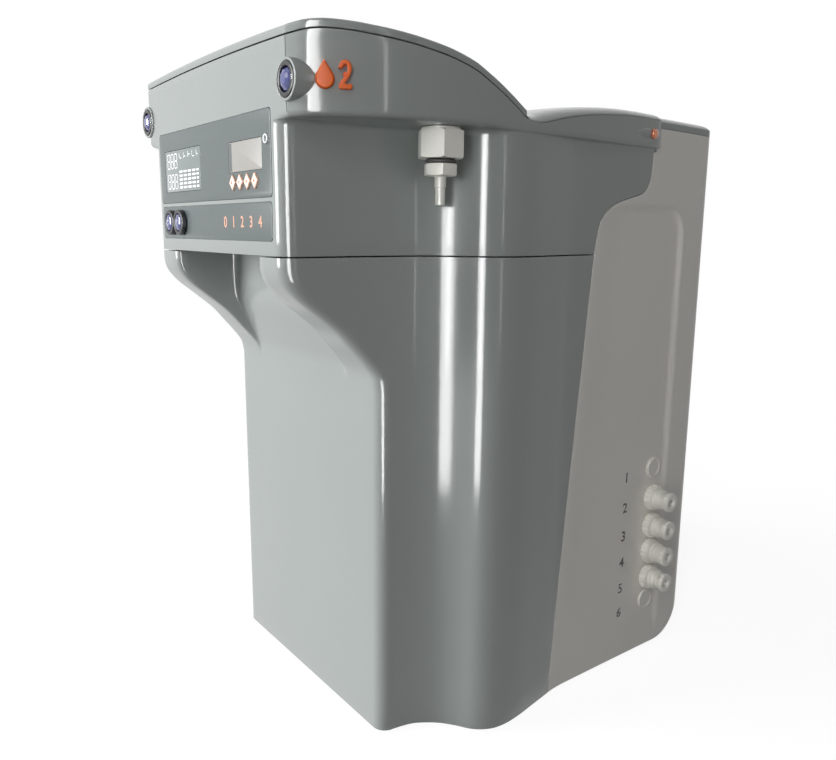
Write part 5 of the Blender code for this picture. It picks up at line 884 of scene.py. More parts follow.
def upper_housing():
    housing = piece("head", head_shell(), "grey_shell", replaces=["upper_housing"], edge=EDGE_ROUNDING)
    bosses, cuts, openings = Solid(), Solid(), Solid()
    inner = BOSS_RADIUS - BOSS_WALL
    for side in (-1, 1):
        profile = rounded([(0, BOSS_LENGTH), (BOSS_RADIUS, BOSS_LENGTH), (BOSS_RADIUS, 0), (inner, 0),
                           (inner - OVERRUN, OVERRUN), (0, OVERRUN)], BOSS_EDGE)
        bosses.join(turned(profile, boss_place(side), BACK))
        cuts.join(rod(inner, -OVERRUN, BOSS_LENGTH + OVERRUN, boss_place(side), BACK))
        cuts.join(rod(NOZZLE_SHANK_RADIUS + FIT, -WALL, 2 * WALL,
                      (side * NOZZLE_X, NOZZLE_SETBACK, RIM_BASE_HEIGHT), UP))
        crease = side * (FASCIA_HALF_WIDTH - FASCIA_EDGE_RADIUS)
        for low, high in ((RIM_BASE_HEIGHT + FIT, BOSS_HEIGHT - BOSS_RADIUS + OVERRUN),
                          (BOSS_HEIGHT + BOSS_RADIUS - OVERRUN, BOSS_HEIGHT + 2 * BOSS_RADIUS)):
            openings.join(block((crease - FIT, -OVERRUN, low), (crease + FIT, 2 * FIT, high)))
    for half, base, top in ((PANEL_HALF_WIDTH, PANEL_BASE, PANEL_TOP),
                            (STRIP_HALF_WIDTH, STRIP_BASE, STRIP_TOP)):
        outline = rounded_rectangle(-half - FIT, base - FIT, half + FIT, top + FIT, PANEL_CORNER)
        cuts.join(prism(outline, -OVERRUN, POCKET_DEPTH, "y"))
    boundary = [(REAR_EDGE_AT_SEAM, SEAM_HEIGHT - OVERRUN)] + boundary_line()
    boundary += [(BODY_DEPTH, BOUNDARY_TOP), (BODY_DEPTH, SEAM_HEIGHT - OVERRUN)]
    reach = BULGE_HALF_WIDTH + WALL
    cuts.join(prism(boundary, -reach, reach, "x"))
    openings.join(block((METER_LEFT - WINDOW_MARGIN, 0, KEY_HEIGHT_POSITION - KEY_HALF_HEIGHT - FIT),
                        (LCD_LEFT + LCD_WIDTH + WINDOW_MARGIN, WALL + OVERRUN,
                         METER_BASE + METER_HEIGHT + WINDOW_MARGIN)),
                  rod(STATUS_LAMP_RADIUS + FIT, 0, WALL + OVERRUN, (STATUS_LAMP_X, 0, STATUS_LAMP_Z),
                      BACK))
    for x in PANEL_BUTTON_PLACES.values():
        openings.join(rod(PANEL_BEZEL_NECK + FIT, 0, WALL + OVERRUN, (x, 0, PANEL_BUTTON_HEIGHT), BACK))
    combine(housing, ("UNION", bosses), ("UNION", head_floor()), ("DIFFERENCE", cuts),
            ("DIFFERENCE", openings))


# Rear housing and cover

def recess_depth(y, z):
    """How far the side's shallow recess lies below the side wall."""
    over_y = y - (SIDE_RECESS_END - SIDE_RECESS_RADIUS)
    over_z = z - (SIDE_RECESS_TOP - SIDE_RECESS_RADIUS)
    distance = hypot(max(over_y, 0), max(over_z, 0)) + min(max(over_y, over_z), 0)
    inside = (SIDE_RECESS_RADIUS - distance) / SIDE_RECESS_SOFTNESS
    return SIDE_RECESS_DEPTH * smooth_step(inside) * smooth_step(z / SIDE_RECESS_LIFT)


def rear_row(front, z):
    """Outline of the rear housing at a height, from its left front edge to its right one."""
    below = max(REAR_BASE_RADIUS - z, 0)
    rear = BODY_DEPTH - REAR_BASE_RADIUS + sqrt(REAR_BASE_RADIUS ** 2 - below ** 2)
    corner_start = rear - REAR_CORNER_RADIUS
    ports = SIDE_RECESS_END - SIDE_RECESS_RADIUS
    places = spread(front, ports, REAR_SIDE_STEPS) + spread(ports, corner_start, REAR_PORT_STEPS)[1:]
    lead = RECESS_LEAD_SHARE * (ports - front)
    half = [(side_x(y) - smooth_step((y - front) / lead) * recess_depth(y, z), y) for y in places]
    centre = BODY_HALF_WIDTH - REAR_CORNER_RADIUS
    half += [(centre + REAR_CORNER_RADIUS * c, corner_start + REAR_CORNER_RADIUS * s)
             for s, c in quarter(REAR_CORNER_STEPS)]
    half += [(x, rear) for x in spread(centre, 0, BACK_STEPS)[1:]]
    return [(-x, y) for x, y in half] + [(x, y) for x, y in reversed(half[:-1])]


def rear_top_edge(y):
    return rim_top(RIM_HALF_WIDTH, y) - COVER_BAND - FIT


def rear_housing():
    heights = [REAR_BASE_RADIUS * (1 - c) for _, c in quarter(REAR_BASE_ROWS)]
    heights += spread(REAR_BASE_RADIUS, SEAM_HEIGHT, REAR_ROWS)[1:-1]
    rows = [(rear_edge(z) + PANEL_GAP, z) for z in heights]
    line = boundary_line()
    rows += inset(line, [-PANEL_GAP] * len(line))
    rows[-1] = (rows[-1][0], BOUNDARY_TOP - PANEL_GAP)
    rows = [row for k, row in enumerate(rows) if k == 0 or row[1] > rows[k - 1][1] + FIT / 2]
    outer, inner = [], []

    def add_row(front, plan_z, height):
        row = rear_row(front, plan_z)
        outer.append([Vector((x, y, height(y))) for x, y in row])
        inner.append([Vector((x, y, height(y))) for x, y in inset(row, [-WALL] * len(row))])

    for front, z in rows:
        add_row(front, z, lambda y: z)
    for s in spread(0, 1, REAR_TOP_ROWS):
        add_row(RIM_LENGTH + PANEL_GAP, BOUNDARY_TOP,
                lambda y: BOUNDARY_TOP + (rear_top_edge(y) - BOUNDARY_TOP) * s)
    piece("back_housing", grid_shell(outer, inner), "white_shell", replaces=["rear_housing"],
          edge=EDGE_ROUNDING)


COVER_COLUMN_SHARES = (0.0, 0.006, 0.013, 0.022, 0.035, 0.05, 0.07, 0.095, 0.12, 0.16, 0.20, 0.25,
                       0.32, 0.42, 0.55, 0.75, 1.0)


def across(half_row, y):
    """Row of points from the left edge over the middle to the right edge."""
    left = [Vector((-x, y, z)) for x, z in half_row[:-1]]
    return left + [Vector((x, y, z)) for x, z in reversed(half_row)]


def cover_rows():
    """Rows of the cover: outer setback and half width, and those of its underside."""
    start = HINGE_SETBACK + COVER_FRONT_GAP
    rows = [(y, rim_x(y) - COVER_LIP, y, rim_x(y) - COVER_LIP - COVER_SKIN)
            for y in spread(start, RIM_LENGTH + FIT, COVER_RIM_ROWS)]
    bend_start = BODY_DEPTH - REAR_CORNER_RADIUS
    rows += [(y, BODY_HALF_WIDTH, y, BODY_HALF_WIDTH - COVER_SKIN)
             for y in spread(RIM_LENGTH + PANEL_GAP, bend_start, COVER_REAR_ROWS)[:-1]]
    centre, under = BODY_HALF_WIDTH - REAR_CORNER_RADIUS, REAR_CORNER_RADIUS - COVER_SKIN
    rows += [(bend_start + REAR_CORNER_RADIUS * s, centre + REAR_CORNER_RADIUS * c,
              bend_start + under * s, centre + under * c) for s, c in quarter(REAR_CORNER_STEPS)]
    return rows


def cover_top(lip, from_side, from_rear):
    reach = min(from_side, from_rear) / SHOULDER_WIDTH
    return lip + COVER_CROWN * smooth_value(SHOULDER_SHARES, reach)


def rear_top_cover():
    outer, inner = [], []
    for y, half, inner_y, inner_half in cover_rows():
        on_rim = y < RIM_LENGTH + PANEL_GAP
        edge = rim_top(RIM_HALF_WIDTH, y)
        low = edge + FIT if on_rim else edge - COVER_BAND
        lip = edge + FIT + COVER_LIP if on_rim else edge
        columns, under = [(half, low)], [(inner_half, low)]
        for share in COVER_COLUMN_SHARES:
            top = cover_top(lip, share * half, BODY_DEPTH - y)
            columns.append((half - share * half, top))
            under.append((inner_half - share * inner_half, max(top - COVER_SKIN, low + FIT)))
        outer.append(across(columns, y))
        inner.append(across(under, inner_y))
    low = rim_top(RIM_HALF_WIDTH, BODY_DEPTH) - COVER_BAND
    for grid in (outer, inner):
        grid.append([Vector((p.x, p.y, low)) for p in grid[-1]])
    piece("back_cover", grid_shell(outer, inner), "grey_shell", replaces=["rear_top_cover"],
          edge=EDGE_ROUNDING)


# Lid

HINGE_HEIGHT = rim_top(RIM_HALF_WIDTH, HINGE_SETBACK) + LID_GAP + HINGE_RISE
HINGE_PLACE = Vector((0, HINGE_SETBACK, HINGE_HEIGHT))


def lid_low(x, y):
    return rim_top(x, y) + LID_GAP


def lid_top(x, y):
    share = min(abs(x) / edge_x(y), 1.0)
    crown = LID_CROWN * smooth_value(LID_CROWN_SHARES, y / HINGE_SETBACK)
    return lid_low(x, y) + LID_THICKNESS + crown * (1 - share * share)


def top_lid():
    edge = [(0, None)] + [(LID_EDGE_RADIUS * (1 - c), LID_EDGE_RADIUS * (1 - s))
                          for s, c in quarter(ARC_STEPS)]
    length = HINGE_SETBACK + HINGE_TAIL
    rows = edge + [(y, 0) for y in spread(LID_EDGE_RADIUS, length, LID_ROWS)[1:]] + [(length, None)]
    outer, inner = [], []
    for y, row_drop in rows:
        half = edge_x(y)
        columns = edge + [(x, 0) for x in spread(LID_EDGE_RADIUS, half, LID_COLUMNS)[1:]]
        under_y = LID_BORDER + y * (length - 2 * LID_BORDER) / length
        under_half = edge_x(under_y) - LID_BORDER
        outside, underside = [], []
        for from_side, drop in columns:
            x = half - from_side
            under_x = under_half * x / half
            if row_drop is None or drop is None:
                outside.append((x, lid_low(x, y)))
                underside.append((under_x, lid_low(under_x, under_y)))
            else:
                outside.append((x, lid_top(x, y) - max(row_drop, drop)))
                underside.append((under_x, lid_top(under_x, under_y) - LID_SKIN))
        outer.append(across(outside, y))
        inner.append(across(underside, under_y))
    lid = piece("lid", grid_shell(outer, inner), "grey_shell", body="lid", replaces=["top_lid"],
                edge=EDGE_ROUNDING / 2)
    gap = EAR_WIDTH / 2 + EAR_NOTCH_MARGIN
    knuckles, notches = Solid(), Solid()
    for start, end in ((gap, OUTER_EAR_PLACE - gap), (gap - OUTER_EAR_PLACE, -gap)):
        knuckles.join(rod(KNUCKLE_RADIUS, start, end, HINGE_PLACE, RIGHT, KNUCKLE_SIDES))
    below = HINGE_HEIGHT - KNUCKLE_RADIUS - EAR_NOTCH_MARGIN
    bore = rod(HINGE_PIN_RADIUS + FIT, -OUTER_EAR_PLACE - gap, OUTER_EAR_PLACE + gap, HINGE_PLACE,
               RIGHT, SMALL_SIDES)
    for x in (-OUTER_EAR_PLACE, 0, OUTER_EAR_PLACE):
        notches.join(block((x - gap, HINGE_SETBACK - EAR_NOTCH_DEPTH, below),
                           (x + gap, HINGE_SETBACK + EAR_NOTCH_DEPTH, HINGE_HEIGHT + EAR_RADIUS + FIT)))
    combine(lid, ("UNION", knuckles), ("DIFFERENCE", bore), ("DIFFERENCE", notches))


# Front: panel, windows, keys and buttons

FACE_RISE = 0.3 * MM
FRONT_FRAME = Matrix(((1, 0, 0, 0), (0, 0, -1, 0), (0, 1, 0, 0), (0, 0, 0, 1)))
SIDE_FRAME = Matrix(((0, 0, 1, 0), (1, 0, 0, 0), (0, 1, 0, 0), (0, 0, 0, 1)))
METER = (METER_LEFT, METER_BASE, METER_WIDTH, METER_HEIGHT)
LCD = (LCD_LEFT, LCD_BASE, LCD_WIDTH, LCD_HEIGHT)
WINDOW_CORNER, WINDOW_EDGE, OVERLAY_EDGE, KEY_CORNER = 0.8 * MM, 0.1 * MM, 0.25 * MM, 0.5 * MM
GLASS_BACK, GLASS_FRONT = -2.2 * MM, 0.2 * MM
INK = (GLASS_FRONT - 0.1 * MM, GLASS_FRONT + 0.08 * MM)
# Painted shade on the LCD: a dark strip at the left of the window, its inset from the window's edges and
# where it ends
LCD_SHADE_INSET, LCD_SHADE_END = 0.6 * MM, 5.0 * MM

# Shares of the meter window's width and height
SEGMENT_SHARES = (
    ((0.12, 1.0), (0.88, 1.0)), ((1.0, 0.94), (1.0, 0.56)), ((1.0, 0.44), (1.0, 0.06)),
    ((0.12, 0.0), (0.88, 0.0)), ((0.0, 0.44), (0.0, 0.06)), ((0.0, 0.94), (0.0, 0.56)),
    ((0.12, 0.5), (0.88, 0.5)),
)
SEGMENT_WIDTH_SHARE = 0.16
FIGURE_ROWS, FIGURE_START, FIGURE_PITCH = (0.08, 0.58), 0.07, 0.105
FIGURE_WIDTH, FIGURE_HEIGHT = 0.072, 0.34
BAR_START, BAR_PITCH, BAR_WIDTH, LAST_BAR_WIDTH = 0.41, 0.122, 0.09, 0.06
BAR_BASE, BAR_ROW_PITCH, BAR_HEIGHT, BAR_ROWS, BAR_COLUMNS = 0.07, 0.095, 0.05, 5, 5
SIGN_BASE, SIGN_TOP, SIGN_STEP, SIGN_WIDTH = 0.80, 0.92, 0.03, 0.7 * MM

# Menu keys: name, share of the key's size, low, high and edge in millimetres, and look
KEY_LAYERS = (("rim", 1.0, -8, 1.45, 0.3, "key"), ("face", 0.74, 1.2, 1.6, 0.3, "key_cream"),
              ("dot", 0.26, 1.4, 1.68, 0.1, "orange"))

# Profiles in millimetres, each point a radius and a height
STATUS_RING = ((2.0, 1.0), (2.0, -1.7), (3.0, -1.7), (3.0, 4.0), (2.0, 4.0))
STATUS_LENS = ((0, 4.0), (1.95, 4.0), (1.95, -0.6), (1.4, -1.0), (0, -1.2))
DOME = ((0, 0), (2.6, 0.08), (4.2, 0.35), (4.35, 0.65), (4.75, 0.65), (4.9, 0.45), (5.9, 0.75),
        (6.4, 1.3), (6.7, 2.2), (6.7, 9), (0, 9))
GEM = ((0, 0), (3.3, 0.05), (5.2, 0.9), (6.6, 2.0), (7.2, 3.2), (7.2, 8), (0, 8))
GEM_SIDES = 10
# Cups in millimetres: radius, flange radius and thickness, bore radius, length
PANEL_CUP = (8, 10, 3.6, 7, 16)
DISPENSE_CUP = (10.5, 10.5, 0, 7.5, 15)
CUP_FLOOR = 1.6 * MM
PANEL_CUP_PROUD, PANEL_CAP_PROUD = 4.2 * MM, 5.0 * MM
DISPENSE_CUP_PROUD, DISPENSE_CAP_PROUD = 0.6 * MM, 1.8 * MM
SYMBOL_RADIUS, SYMBOL_LINE, SYMBOL_BASE = 2 * MM, 0.5 * MM, 4.8 * MM
SYMBOL_STEPS, SYMBOL_GAP = 36, 5
TICK_RISES, TICK_START, TICK_END, TICK_HALF = (-1.0 * MM, 0, 1.0 * MM), 8.2 * MM, 9.7 * MM, 0.2 * MM
# Low, high, corner and edge of a tick
TICK_PLATE = (1.9 * MM, 2.15 * MM, 0.1 * MM, 0.03 * MM)


def plate(x0, z0, x1, z1, low, high, corner=0.3 * MM, edge=0.1 * MM):
    return softened(rounded_rectangle(x0, z0, x1, z1, corner), low, high, edge)


def front_piece(name, solid, look, **more):
    return piece(name, solid, look, moved=FRONT_FRAME, **more)


def bar_between(start, end, width, low, high):
    """Flat bar with pointed ends between two places."""
    a, b = Vector(start), Vector(end)
    along = (b - a).normalized() * width / 2
    aside = Vector((-along.y, along.x))
    outline = [a - along, a - aside, b - aside, b + along, b + aside, a + aside]
    return prism([(p.x, p.y) for p in outline], low, high)


def window(place, gap=0.0):
    left, base, width, height = place
    return rounded_rectangle(left - gap, base - gap, left + width + gap, base + height + gap, WINDOW_CORNER)


def diamond(x, share, low, high, edge):
    wide, tall = share * KEY_HALF_WIDTH, share * KEY_HALF_HEIGHT
    z = KEY_HEIGHT_POSITION
    corners = [(x + wide, z), (x, z + tall), (x - wide, z), (x, z - tall)]
    return softened(rounded_outline(corners, KEY_CORNER), low, high, edge)


def overlays():
    holes, strip_holes = Solid(), Solid()
    for place in (METER, LCD):
        holes.join(prism(window(place, FIT), -WALL, WALL, "y"))
    z, wide, tall = KEY_HEIGHT_POSITION, KEY_HALF_WIDTH + KEY_CLEARANCE, KEY_HALF_HEIGHT + KEY_CLEARANCE
    for x in key_places():
        holes.join(prism([(x - wide, z), (x, z - tall), (x + wide, z), (x, z + tall)], -WALL, WALL, "y"))
    holes.join(rod(STATUS_LAMP_RADIUS + FIT, -WALL, WALL, (STATUS_LAMP_X, 0, STATUS_LAMP_Z), BACK))
    for x in PANEL_BUTTON_PLACES.values():
        strip_holes.join(rod(PANEL_BEZEL_NECK + FIT, -WALL, WALL, (x, 0, PANEL_BUTTON_HEIGHT), BACK))
    for name, node, half, base, top, cut in (
            ("panel_overlay", "display_panel", PANEL_HALF_WIDTH, PANEL_BASE, PANEL_TOP, holes),
            ("strip_overlay", "button_strip", STRIP_HALF_WIDTH, STRIP_BASE, STRIP_TOP, strip_holes)):
        solid = plate(-half, base, half, top, FACE_RISE - PANEL_THICKNESS, FACE_RISE, PANEL_CORNER,
                      OVERLAY_EDGE)
        combine(front_piece(name, solid, "panel", replaces=[node]), ("DIFFERENCE", cut))


def display():
    def on_meter(a, b):
        return METER_LEFT + METER_WIDTH * a, METER_BASE + METER_HEIGHT * b

    overlays()
    front_piece("meter_glass", softened(window(METER), GLASS_BACK, GLASS_FRONT, WINDOW_EDGE), "meter",
                replaces=["meter_window"], slot="lens")
    figures, marks = Solid(), Solid()
    for row in FIGURE_ROWS:
        for k in range(3):
            left = FIGURE_START + FIGURE_PITCH * k
            for a, b in SEGMENT_SHARES:
                start, end = (on_meter(left + FIGURE_WIDTH * p, row + FIGURE_HEIGHT * q) for p, q in (a, b))
                figures.join(bar_between(start, end, SEGMENT_WIDTH_SHARE * FIGURE_WIDTH * METER_WIDTH, *INK))
    front_piece("meter_figures", figures, "print_white", slot="lens")
    for column in range(BAR_COLUMNS):
        left = BAR_START + BAR_PITCH * column
        width = BAR_WIDTH if column < BAR_COLUMNS - 1 else LAST_BAR_WIDTH
        for row in range(BAR_ROWS):
            base = BAR_BASE + BAR_ROW_PITCH * row
            marks.join(plate(*on_meter(left, base), *on_meter(left + width, base + BAR_HEIGHT), *INK))
        level = SIGN_BASE + SIGN_STEP * (column % 3)
        for a, b in (((0.2, SIGN_BASE), (0.2, SIGN_TOP)), ((0.2, level), (0.8, level))):
            start, end = (on_meter(left + width * p, q) for p, q in (a, b))
            marks.join(bar_between(start, end, SIGN_WIDTH, *INK))
    front_piece("meter_bars", marks, "print_white", slot="lens")
    front_piece("lcd_glass", softened(window(LCD), GLASS_BACK, GLASS_FRONT, WINDOW_EDGE), "lcd",
                replaces=["lcd_window"], slot="lens")
    # Dark plate along the left of the LCD glass: painted shade, standing in for the shade that falls inside
    # the window's left edge
    painted_shade = plate(LCD_LEFT + LCD_SHADE_INSET, LCD_BASE + LCD_SHADE_INSET, LCD_LEFT + LCD_SHADE_END,
                   LCD_BASE + LCD_HEIGHT - LCD_SHADE_INSET, *INK)
    front_piece("lcd_painted_shade", painted_shade, "panel", slot="lens")
    for number, x in enumerate(key_places(), start=1):
        for layer, share, low, high, edge, look in KEY_LAYERS:
            front_piece(f"key_{number}_{layer}", diamond(x, share, low * MM, high * MM, edge * MM), look,
                        body=f"key_{number}", slot="key",
                        replaces=[f"menu_key_{number}"] if layer == "rim" else ())
    place = (STATUS_LAMP_X, 0, STATUS_LAMP_Z)
    piece("status_ring", turned(rounded(in_metres(STATUS_RING), 0.4 * MM), place, BACK), "print_white",
          replaces=["status_lamp"], slot="fitting")
    piece("status_lens", turned(in_metres(STATUS_LENS), place, BACK), "panel", slot="fitting")


def cup(sizes, place):
    """Open cup with a flange round its mouth."""
    radius, flange, proud, bore, length = (MM * size for size in sizes)
    profile = [(0, length), (radius, length)]
    if flange > radius:
        profile += [(radius, proud), (flange, proud)]
    profile += [(flange, 0), (bore, 0), (bore, length - CUP_FLOOR), (0, length - CUP_FLOOR)]
    return turned(rounded(profile, 0.8 * MM, 5), place, BACK)


def buttons():
    for name, x in PANEL_BUTTON_PLACES.items():
        z = PANEL_BUTTON_HEIGHT
        piece(name + "_cup", cup(PANEL_CUP, (x, -PANEL_CUP_PROUD, z)), "black", replaces=[name + "_bezel"])
        body = name.replace("button", "cap")
        piece(name + "_dome", turned(in_metres(DOME), (x, -PANEL_CAP_PROUD, z), BACK), "blue", body=body,
              replaces=[name + "_cap"])
        symbol = Solid()
        steps = range(SYMBOL_GAP, SYMBOL_STEPS - SYMBOL_GAP + 1) if name == "power_button" else ()
        for k in steps:
            ends = [(x - SYMBOL_RADIUS * sin(a), z + SYMBOL_RADIUS * cos(a))
                    for a in (2 * pi * (k + n) / SYMBOL_STEPS - pi / 2 for n in (0, 1))]
            symbol.join(bar_between(*ends, SYMBOL_LINE, SYMBOL_BASE, 5.02 * MM))
        symbol.join(bar_between((x, z + 0.4 * MM), (x, z + 2.6 * MM), SYMBOL_LINE, SYMBOL_BASE, 5.03 * MM))
        front_piece(name + "_symbol", symbol, "print_white", body=body, slot="blue")
    for side, word in SIDE_WORDS.items():
        x, y, z = boss_place(side)
        piece("dispense_cup_" + word, cup(DISPENSE_CUP, (x, y - DISPENSE_CUP_PROUD, z)), "black",
              replaces=["dispense_bezel_" + word])
        gem = turned(in_metres(GEM), (x, y - DISPENSE_CAP_PROUD, z), BACK, GEM_SIDES)
        thing = piece("dispense_lens_" + word, gem, "blue", body="dispense_cap_" + word,
                      replaces=["dispense_button_" + word])
        thing.data.shade_flat()
        ticks = Solid()
        for rise in TICK_RISES:
            ticks.join(plate(x + TICK_START, z + rise - TICK_HALF, x + TICK_END, z + rise + TICK_HALF,
                             *TICK_PLATE))
        front_piece("dispense_ticks_" + word, ticks, "print_white", slot="black")


# Marks and lamps on the rim

# Profile in millimetres, each point a radius and a height
LAMP_STEM = ((0, -4), (2, -4), (2, 0.3), (4, 0.3), (4, 1.2))
LAMP_SHOULDER, LAMP_SIDES = 1.2 * MM, 40
DROP_EDGE, NUMERAL_CORNER, MARK_STEPS, DROP_STEPS, PEG_REACH = 1.5 * MM, 1.2 * MM, 6, 48, 6.0 * MM
FAIRING_START, FAIRING_LENGTH, FAIRING_SINK = 282 * MM, 22 * MM, 0.8 * MM
# Half height and reach beyond the rim, each as a start and a rise in millimetres, and the
# shares of both that are left at the end
FAIRING_TALL, FAIRING_PROUD, FAIRING_END = (0.4, 4.2), (0.1, 1.7), (0.8, 0.3)
FAIRING_ROWS, FAIRING_POINTS = 24, 16


def rim_side_frame(side, setback, height):
    run = rim_x(setback + MARK_WIDTH / 2) - rim_x(setback - MARK_WIDTH / 2)
    along = Vector((run, side * MARK_WIDTH, 0)).normalized()
    up = Vector(UP)
    return axes_at((side * rim_x(setback), setback, height), along, up, along.cross(up))


def drop_outline():
    radius = DROP_WIDTH / 2
    lean = acos(radius / (MARK_HEIGHT - radius))
    angles = spread(pi / 2 - lean - (2 * pi - 2 * lean), pi / 2 - lean, DROP_STEPS)
    return [(radius * cos(a), radius + radius * sin(a)) for a in angles] + [(0, MARK_HEIGHT)]


def lamp_fairing(side):
    """Pointed hump on the rim ahead of a side lamp."""
    rings = []
    angles = spread(0, pi, FAIRING_POINTS)
    for s in spread(0, 1, FAIRING_ROWS):
        y = FAIRING_START + s * FAIRING_LENGTH
        tall, proud = ((start + rise * smooth_step(s)) * MM for start, rise in (FAIRING_TALL, FAIRING_PROUD))
        if s == 1:
            tall, proud = tall * FAIRING_END[0], proud * FAIRING_END[1]
        rings.append([(side * (rim_x(y) - FAIRING_SINK + (proud + FAIRING_SINK) * sin(a)), y,
                       SIDE_LAMP_HEIGHT + tall * cos(a)) for a in angles])
    return loft(rings)


def rim_marks():
    low, high = MARK_SEAT, MARK_SEAT + MARK_THICKNESS
    for side, word in SIDE_WORDS.items():
        near, far = (rim_side_frame(side, setback, MARK_MIDDLE_HEIGHT - MARK_HEIGHT / 2)
                     for setback in (MARK_SETBACK, MARK_SETBACK + MARK_PITCH))
        drop_frame, number_frame = (near, far) if side > 0 else (far, near)
        outline = rounded_outline([((a - 0.5) * NUMERAL_WIDTH, b * MARK_HEIGHT)
                                   for a, b in NUMERAL_SHARES[word]], NUMERAL_CORNER, 4)
        solid = softened(drop_outline(), low, high, DROP_EDGE, MARK_STEPS).moved(drop_frame)
        solid.join(softened(outline, low, high, MARK_EDGE, MARK_STEPS).moved(number_frame))
        pegs = Solid()
        for matrix in (near, far):
            peg = rod(PEG_RADIUS, -PEG_REACH, MARK_THICKNESS / 2, (0, MARK_HEIGHT / 2, 0), UP, SMALL_SIDES)
            pegs.join(peg.moved(matrix))
        thing = piece("marks_" + word, solid, "orange", replaces=["outlet_mark_" + word])
        combine(thing, ("UNION", pegs))
        lamp = rounded(in_metres(LAMP_STEM), 0.2 * MM)
        lamp += [(SIDE_LAMP_RADIUS * c, LAMP_SHOULDER + (SIDE_LAMP_PROUD - 0.9 * MM) * s)
                 for s, c in quarter(10)[1:-1]]
        lamp.append((0, FIT + SIDE_LAMP_PROUD))
        place = (side * rim_x(SIDE_LAMP_SETBACK), SIDE_LAMP_SETBACK, SIDE_LAMP_HEIGHT)
        piece("rim_lamp_" + word, turned(lamp, place, (side, 0, 0), LAMP_SIDES), "lamp", slot="orange",
              replaces=["side_lamp_" + word])
        piece("lamp_fairing_" + word, lamp_fairing(side), "grey_shell")


# Outlets

PAD_TOP = RIM_BASE_HEIGHT - CEILING_SLOPE - FIT
HEX_TOP = PAD_TOP - NOZZLE_PAD_HEIGHT
HEX_BASE = HEX_TOP - NOZZLE_HEX_HEIGHT
SEAL_TOP = HEX_BASE - FIT
SEAL_BASE = SEAL_TOP - SEAL_HEIGHT
NUT_TOP = SEAL_BASE - FIT
NUT_BASE = NUT_TOP - NUT_HEIGHT
SPIGOT_BASE = (NUT_TOP + NUT_BASE) / 2
TIP_BASE = NUT_BASE - TIP_LENGTH
HEX_CHAMFER, HEX_EDGE, NUT_CHAMFER, NUT_EDGE = 1.6 * MM, 0.5 * MM, 1.2 * MM, 0.4 * MM
SEAL_BULGE, TIP_EDGE, CONE_SIDES = 1.2 * MM, 0.35 * MM, 96


def hex_piece(name, node, radius, low, high, place, chamfer, edge, *steps):
    """Hexagonal bar with a flat to each side and turned chamfers, then added to and cut."""
    turn = Matrix.Translation(place) @ Matrix.Rotation(pi / 6, 4, "Z")
    bar = turned([(0, low), (radius, low), (radius, high), (0, high)], sides=6).moved(turn)
    cone = turned([(0, low), (radius - chamfer, low), (radius + chamfer, low + chamfer),
                   (radius + chamfer, high - chamfer), (radius - chamfer, high), (0, high)], place,
                  sides=CONE_SIDES)
    thing = piece(name, bar, "fitting", replaces=[node])
    combine(thing, ("INTERSECT", cone), *steps)
    round_edges(thing, edge)


def nozzles():
    shank_top = PAD_TOP + NOZZLE_SHANK_LENGTH
    shank = [(0, shank_top), (NOZZLE_SHANK_RADIUS, shank_top), (NOZZLE_SHANK_RADIUS, PAD_TOP),
             (NOZZLE_PAD_RADIUS, PAD_TOP), (NOZZLE_PAD_RADIUS, HEX_TOP - OVERRUN),
             (SPIGOT_RADIUS, HEX_TOP - OVERRUN), (SPIGOT_RADIUS, SPIGOT_BASE), (0, SPIGOT_BASE)]
    seal = [(SPIGOT_RADIUS + FIT, SEAL_BASE)]
    seal += [(SEAL_OUTER_RADIUS - SEAL_BULGE * (1 - sin(pi * s)), SEAL_BASE + s * SEAL_HEIGHT)
             for s in spread(0, 1, 10)]
    seal.append((SPIGOT_RADIUS + FIT, SEAL_TOP))
    narrow, bore = TIP_RADIUS - TIP_STEP_DEPTH, NOZZLE_BORE_RADIUS
    tip = rounded([(bore, NUT_BASE), (bore, SPIGOT_BASE - FIT), (TIP_ROOT_RADIUS, SPIGOT_BASE - FIT),
                   (TIP_ROOT_RADIUS, NUT_BASE), (TIP_RADIUS, NUT_BASE - OVERRUN),
                   (TIP_RADIUS, NUT_BASE - TIP_STEP), (narrow, NUT_BASE - TIP_STEP), (narrow, TIP_BASE),
                   (bore, TIP_BASE), (bore, NUT_BASE - 0.5 * MM)], TIP_EDGE)
    for side, word in SIDE_WORDS.items():
        place = Vector((side * NOZZLE_X, NOZZLE_SETBACK, 0))
        hole = rod(bore, SPIGOT_BASE - OVERRUN, PAD_TOP + 2 * NOZZLE_SHANK_LENGTH, place, UP, 32)
        hex_piece("nozzle_body_" + word, "outlet_body_" + word, NOZZLE_HEX_RADIUS, HEX_BASE, HEX_TOP, place,
                  HEX_CHAMFER, HEX_EDGE, ("UNION", turned(shank, place)), ("DIFFERENCE", hole))
        piece("nozzle_seal_" + word, turned(seal, place), "rubber", replaces=["outlet_seal_" + word])
        hole = rod(SPIGOT_RADIUS + FIT, NUT_BASE - OVERRUN, NUT_TOP + OVERRUN, place, UP)
        hex_piece("nozzle_nut_" + word, "outlet_nut_" + word, NUT_HEX_RADIUS, NUT_BASE, NUT_TOP, place,
                  NUT_CHAMFER, NUT_EDGE, ("DIFFERENCE", hole))
        piece("nozzle_tip_" + word, turned(tip, place), "fitting", replaces=["outlet_tip_" + word])


# Hose ports

PORT_SURFACE = BODY_HALF_WIDTH - SIDE_RECESS_DEPTH
NUT_END = FIT + PORT_NUT_LENGTH
RIB_END = NUT_END + PORT_BODY_LENGTH
PORT_MOUTH = RIB_END + PORT_NECK_LENGTH
COLLET_POCKET = PORT_MOUTH - COLLET_SLEEVE_LENGTH
PORT_SIDES, PORT_EDGE = 144, 0.35 * MM
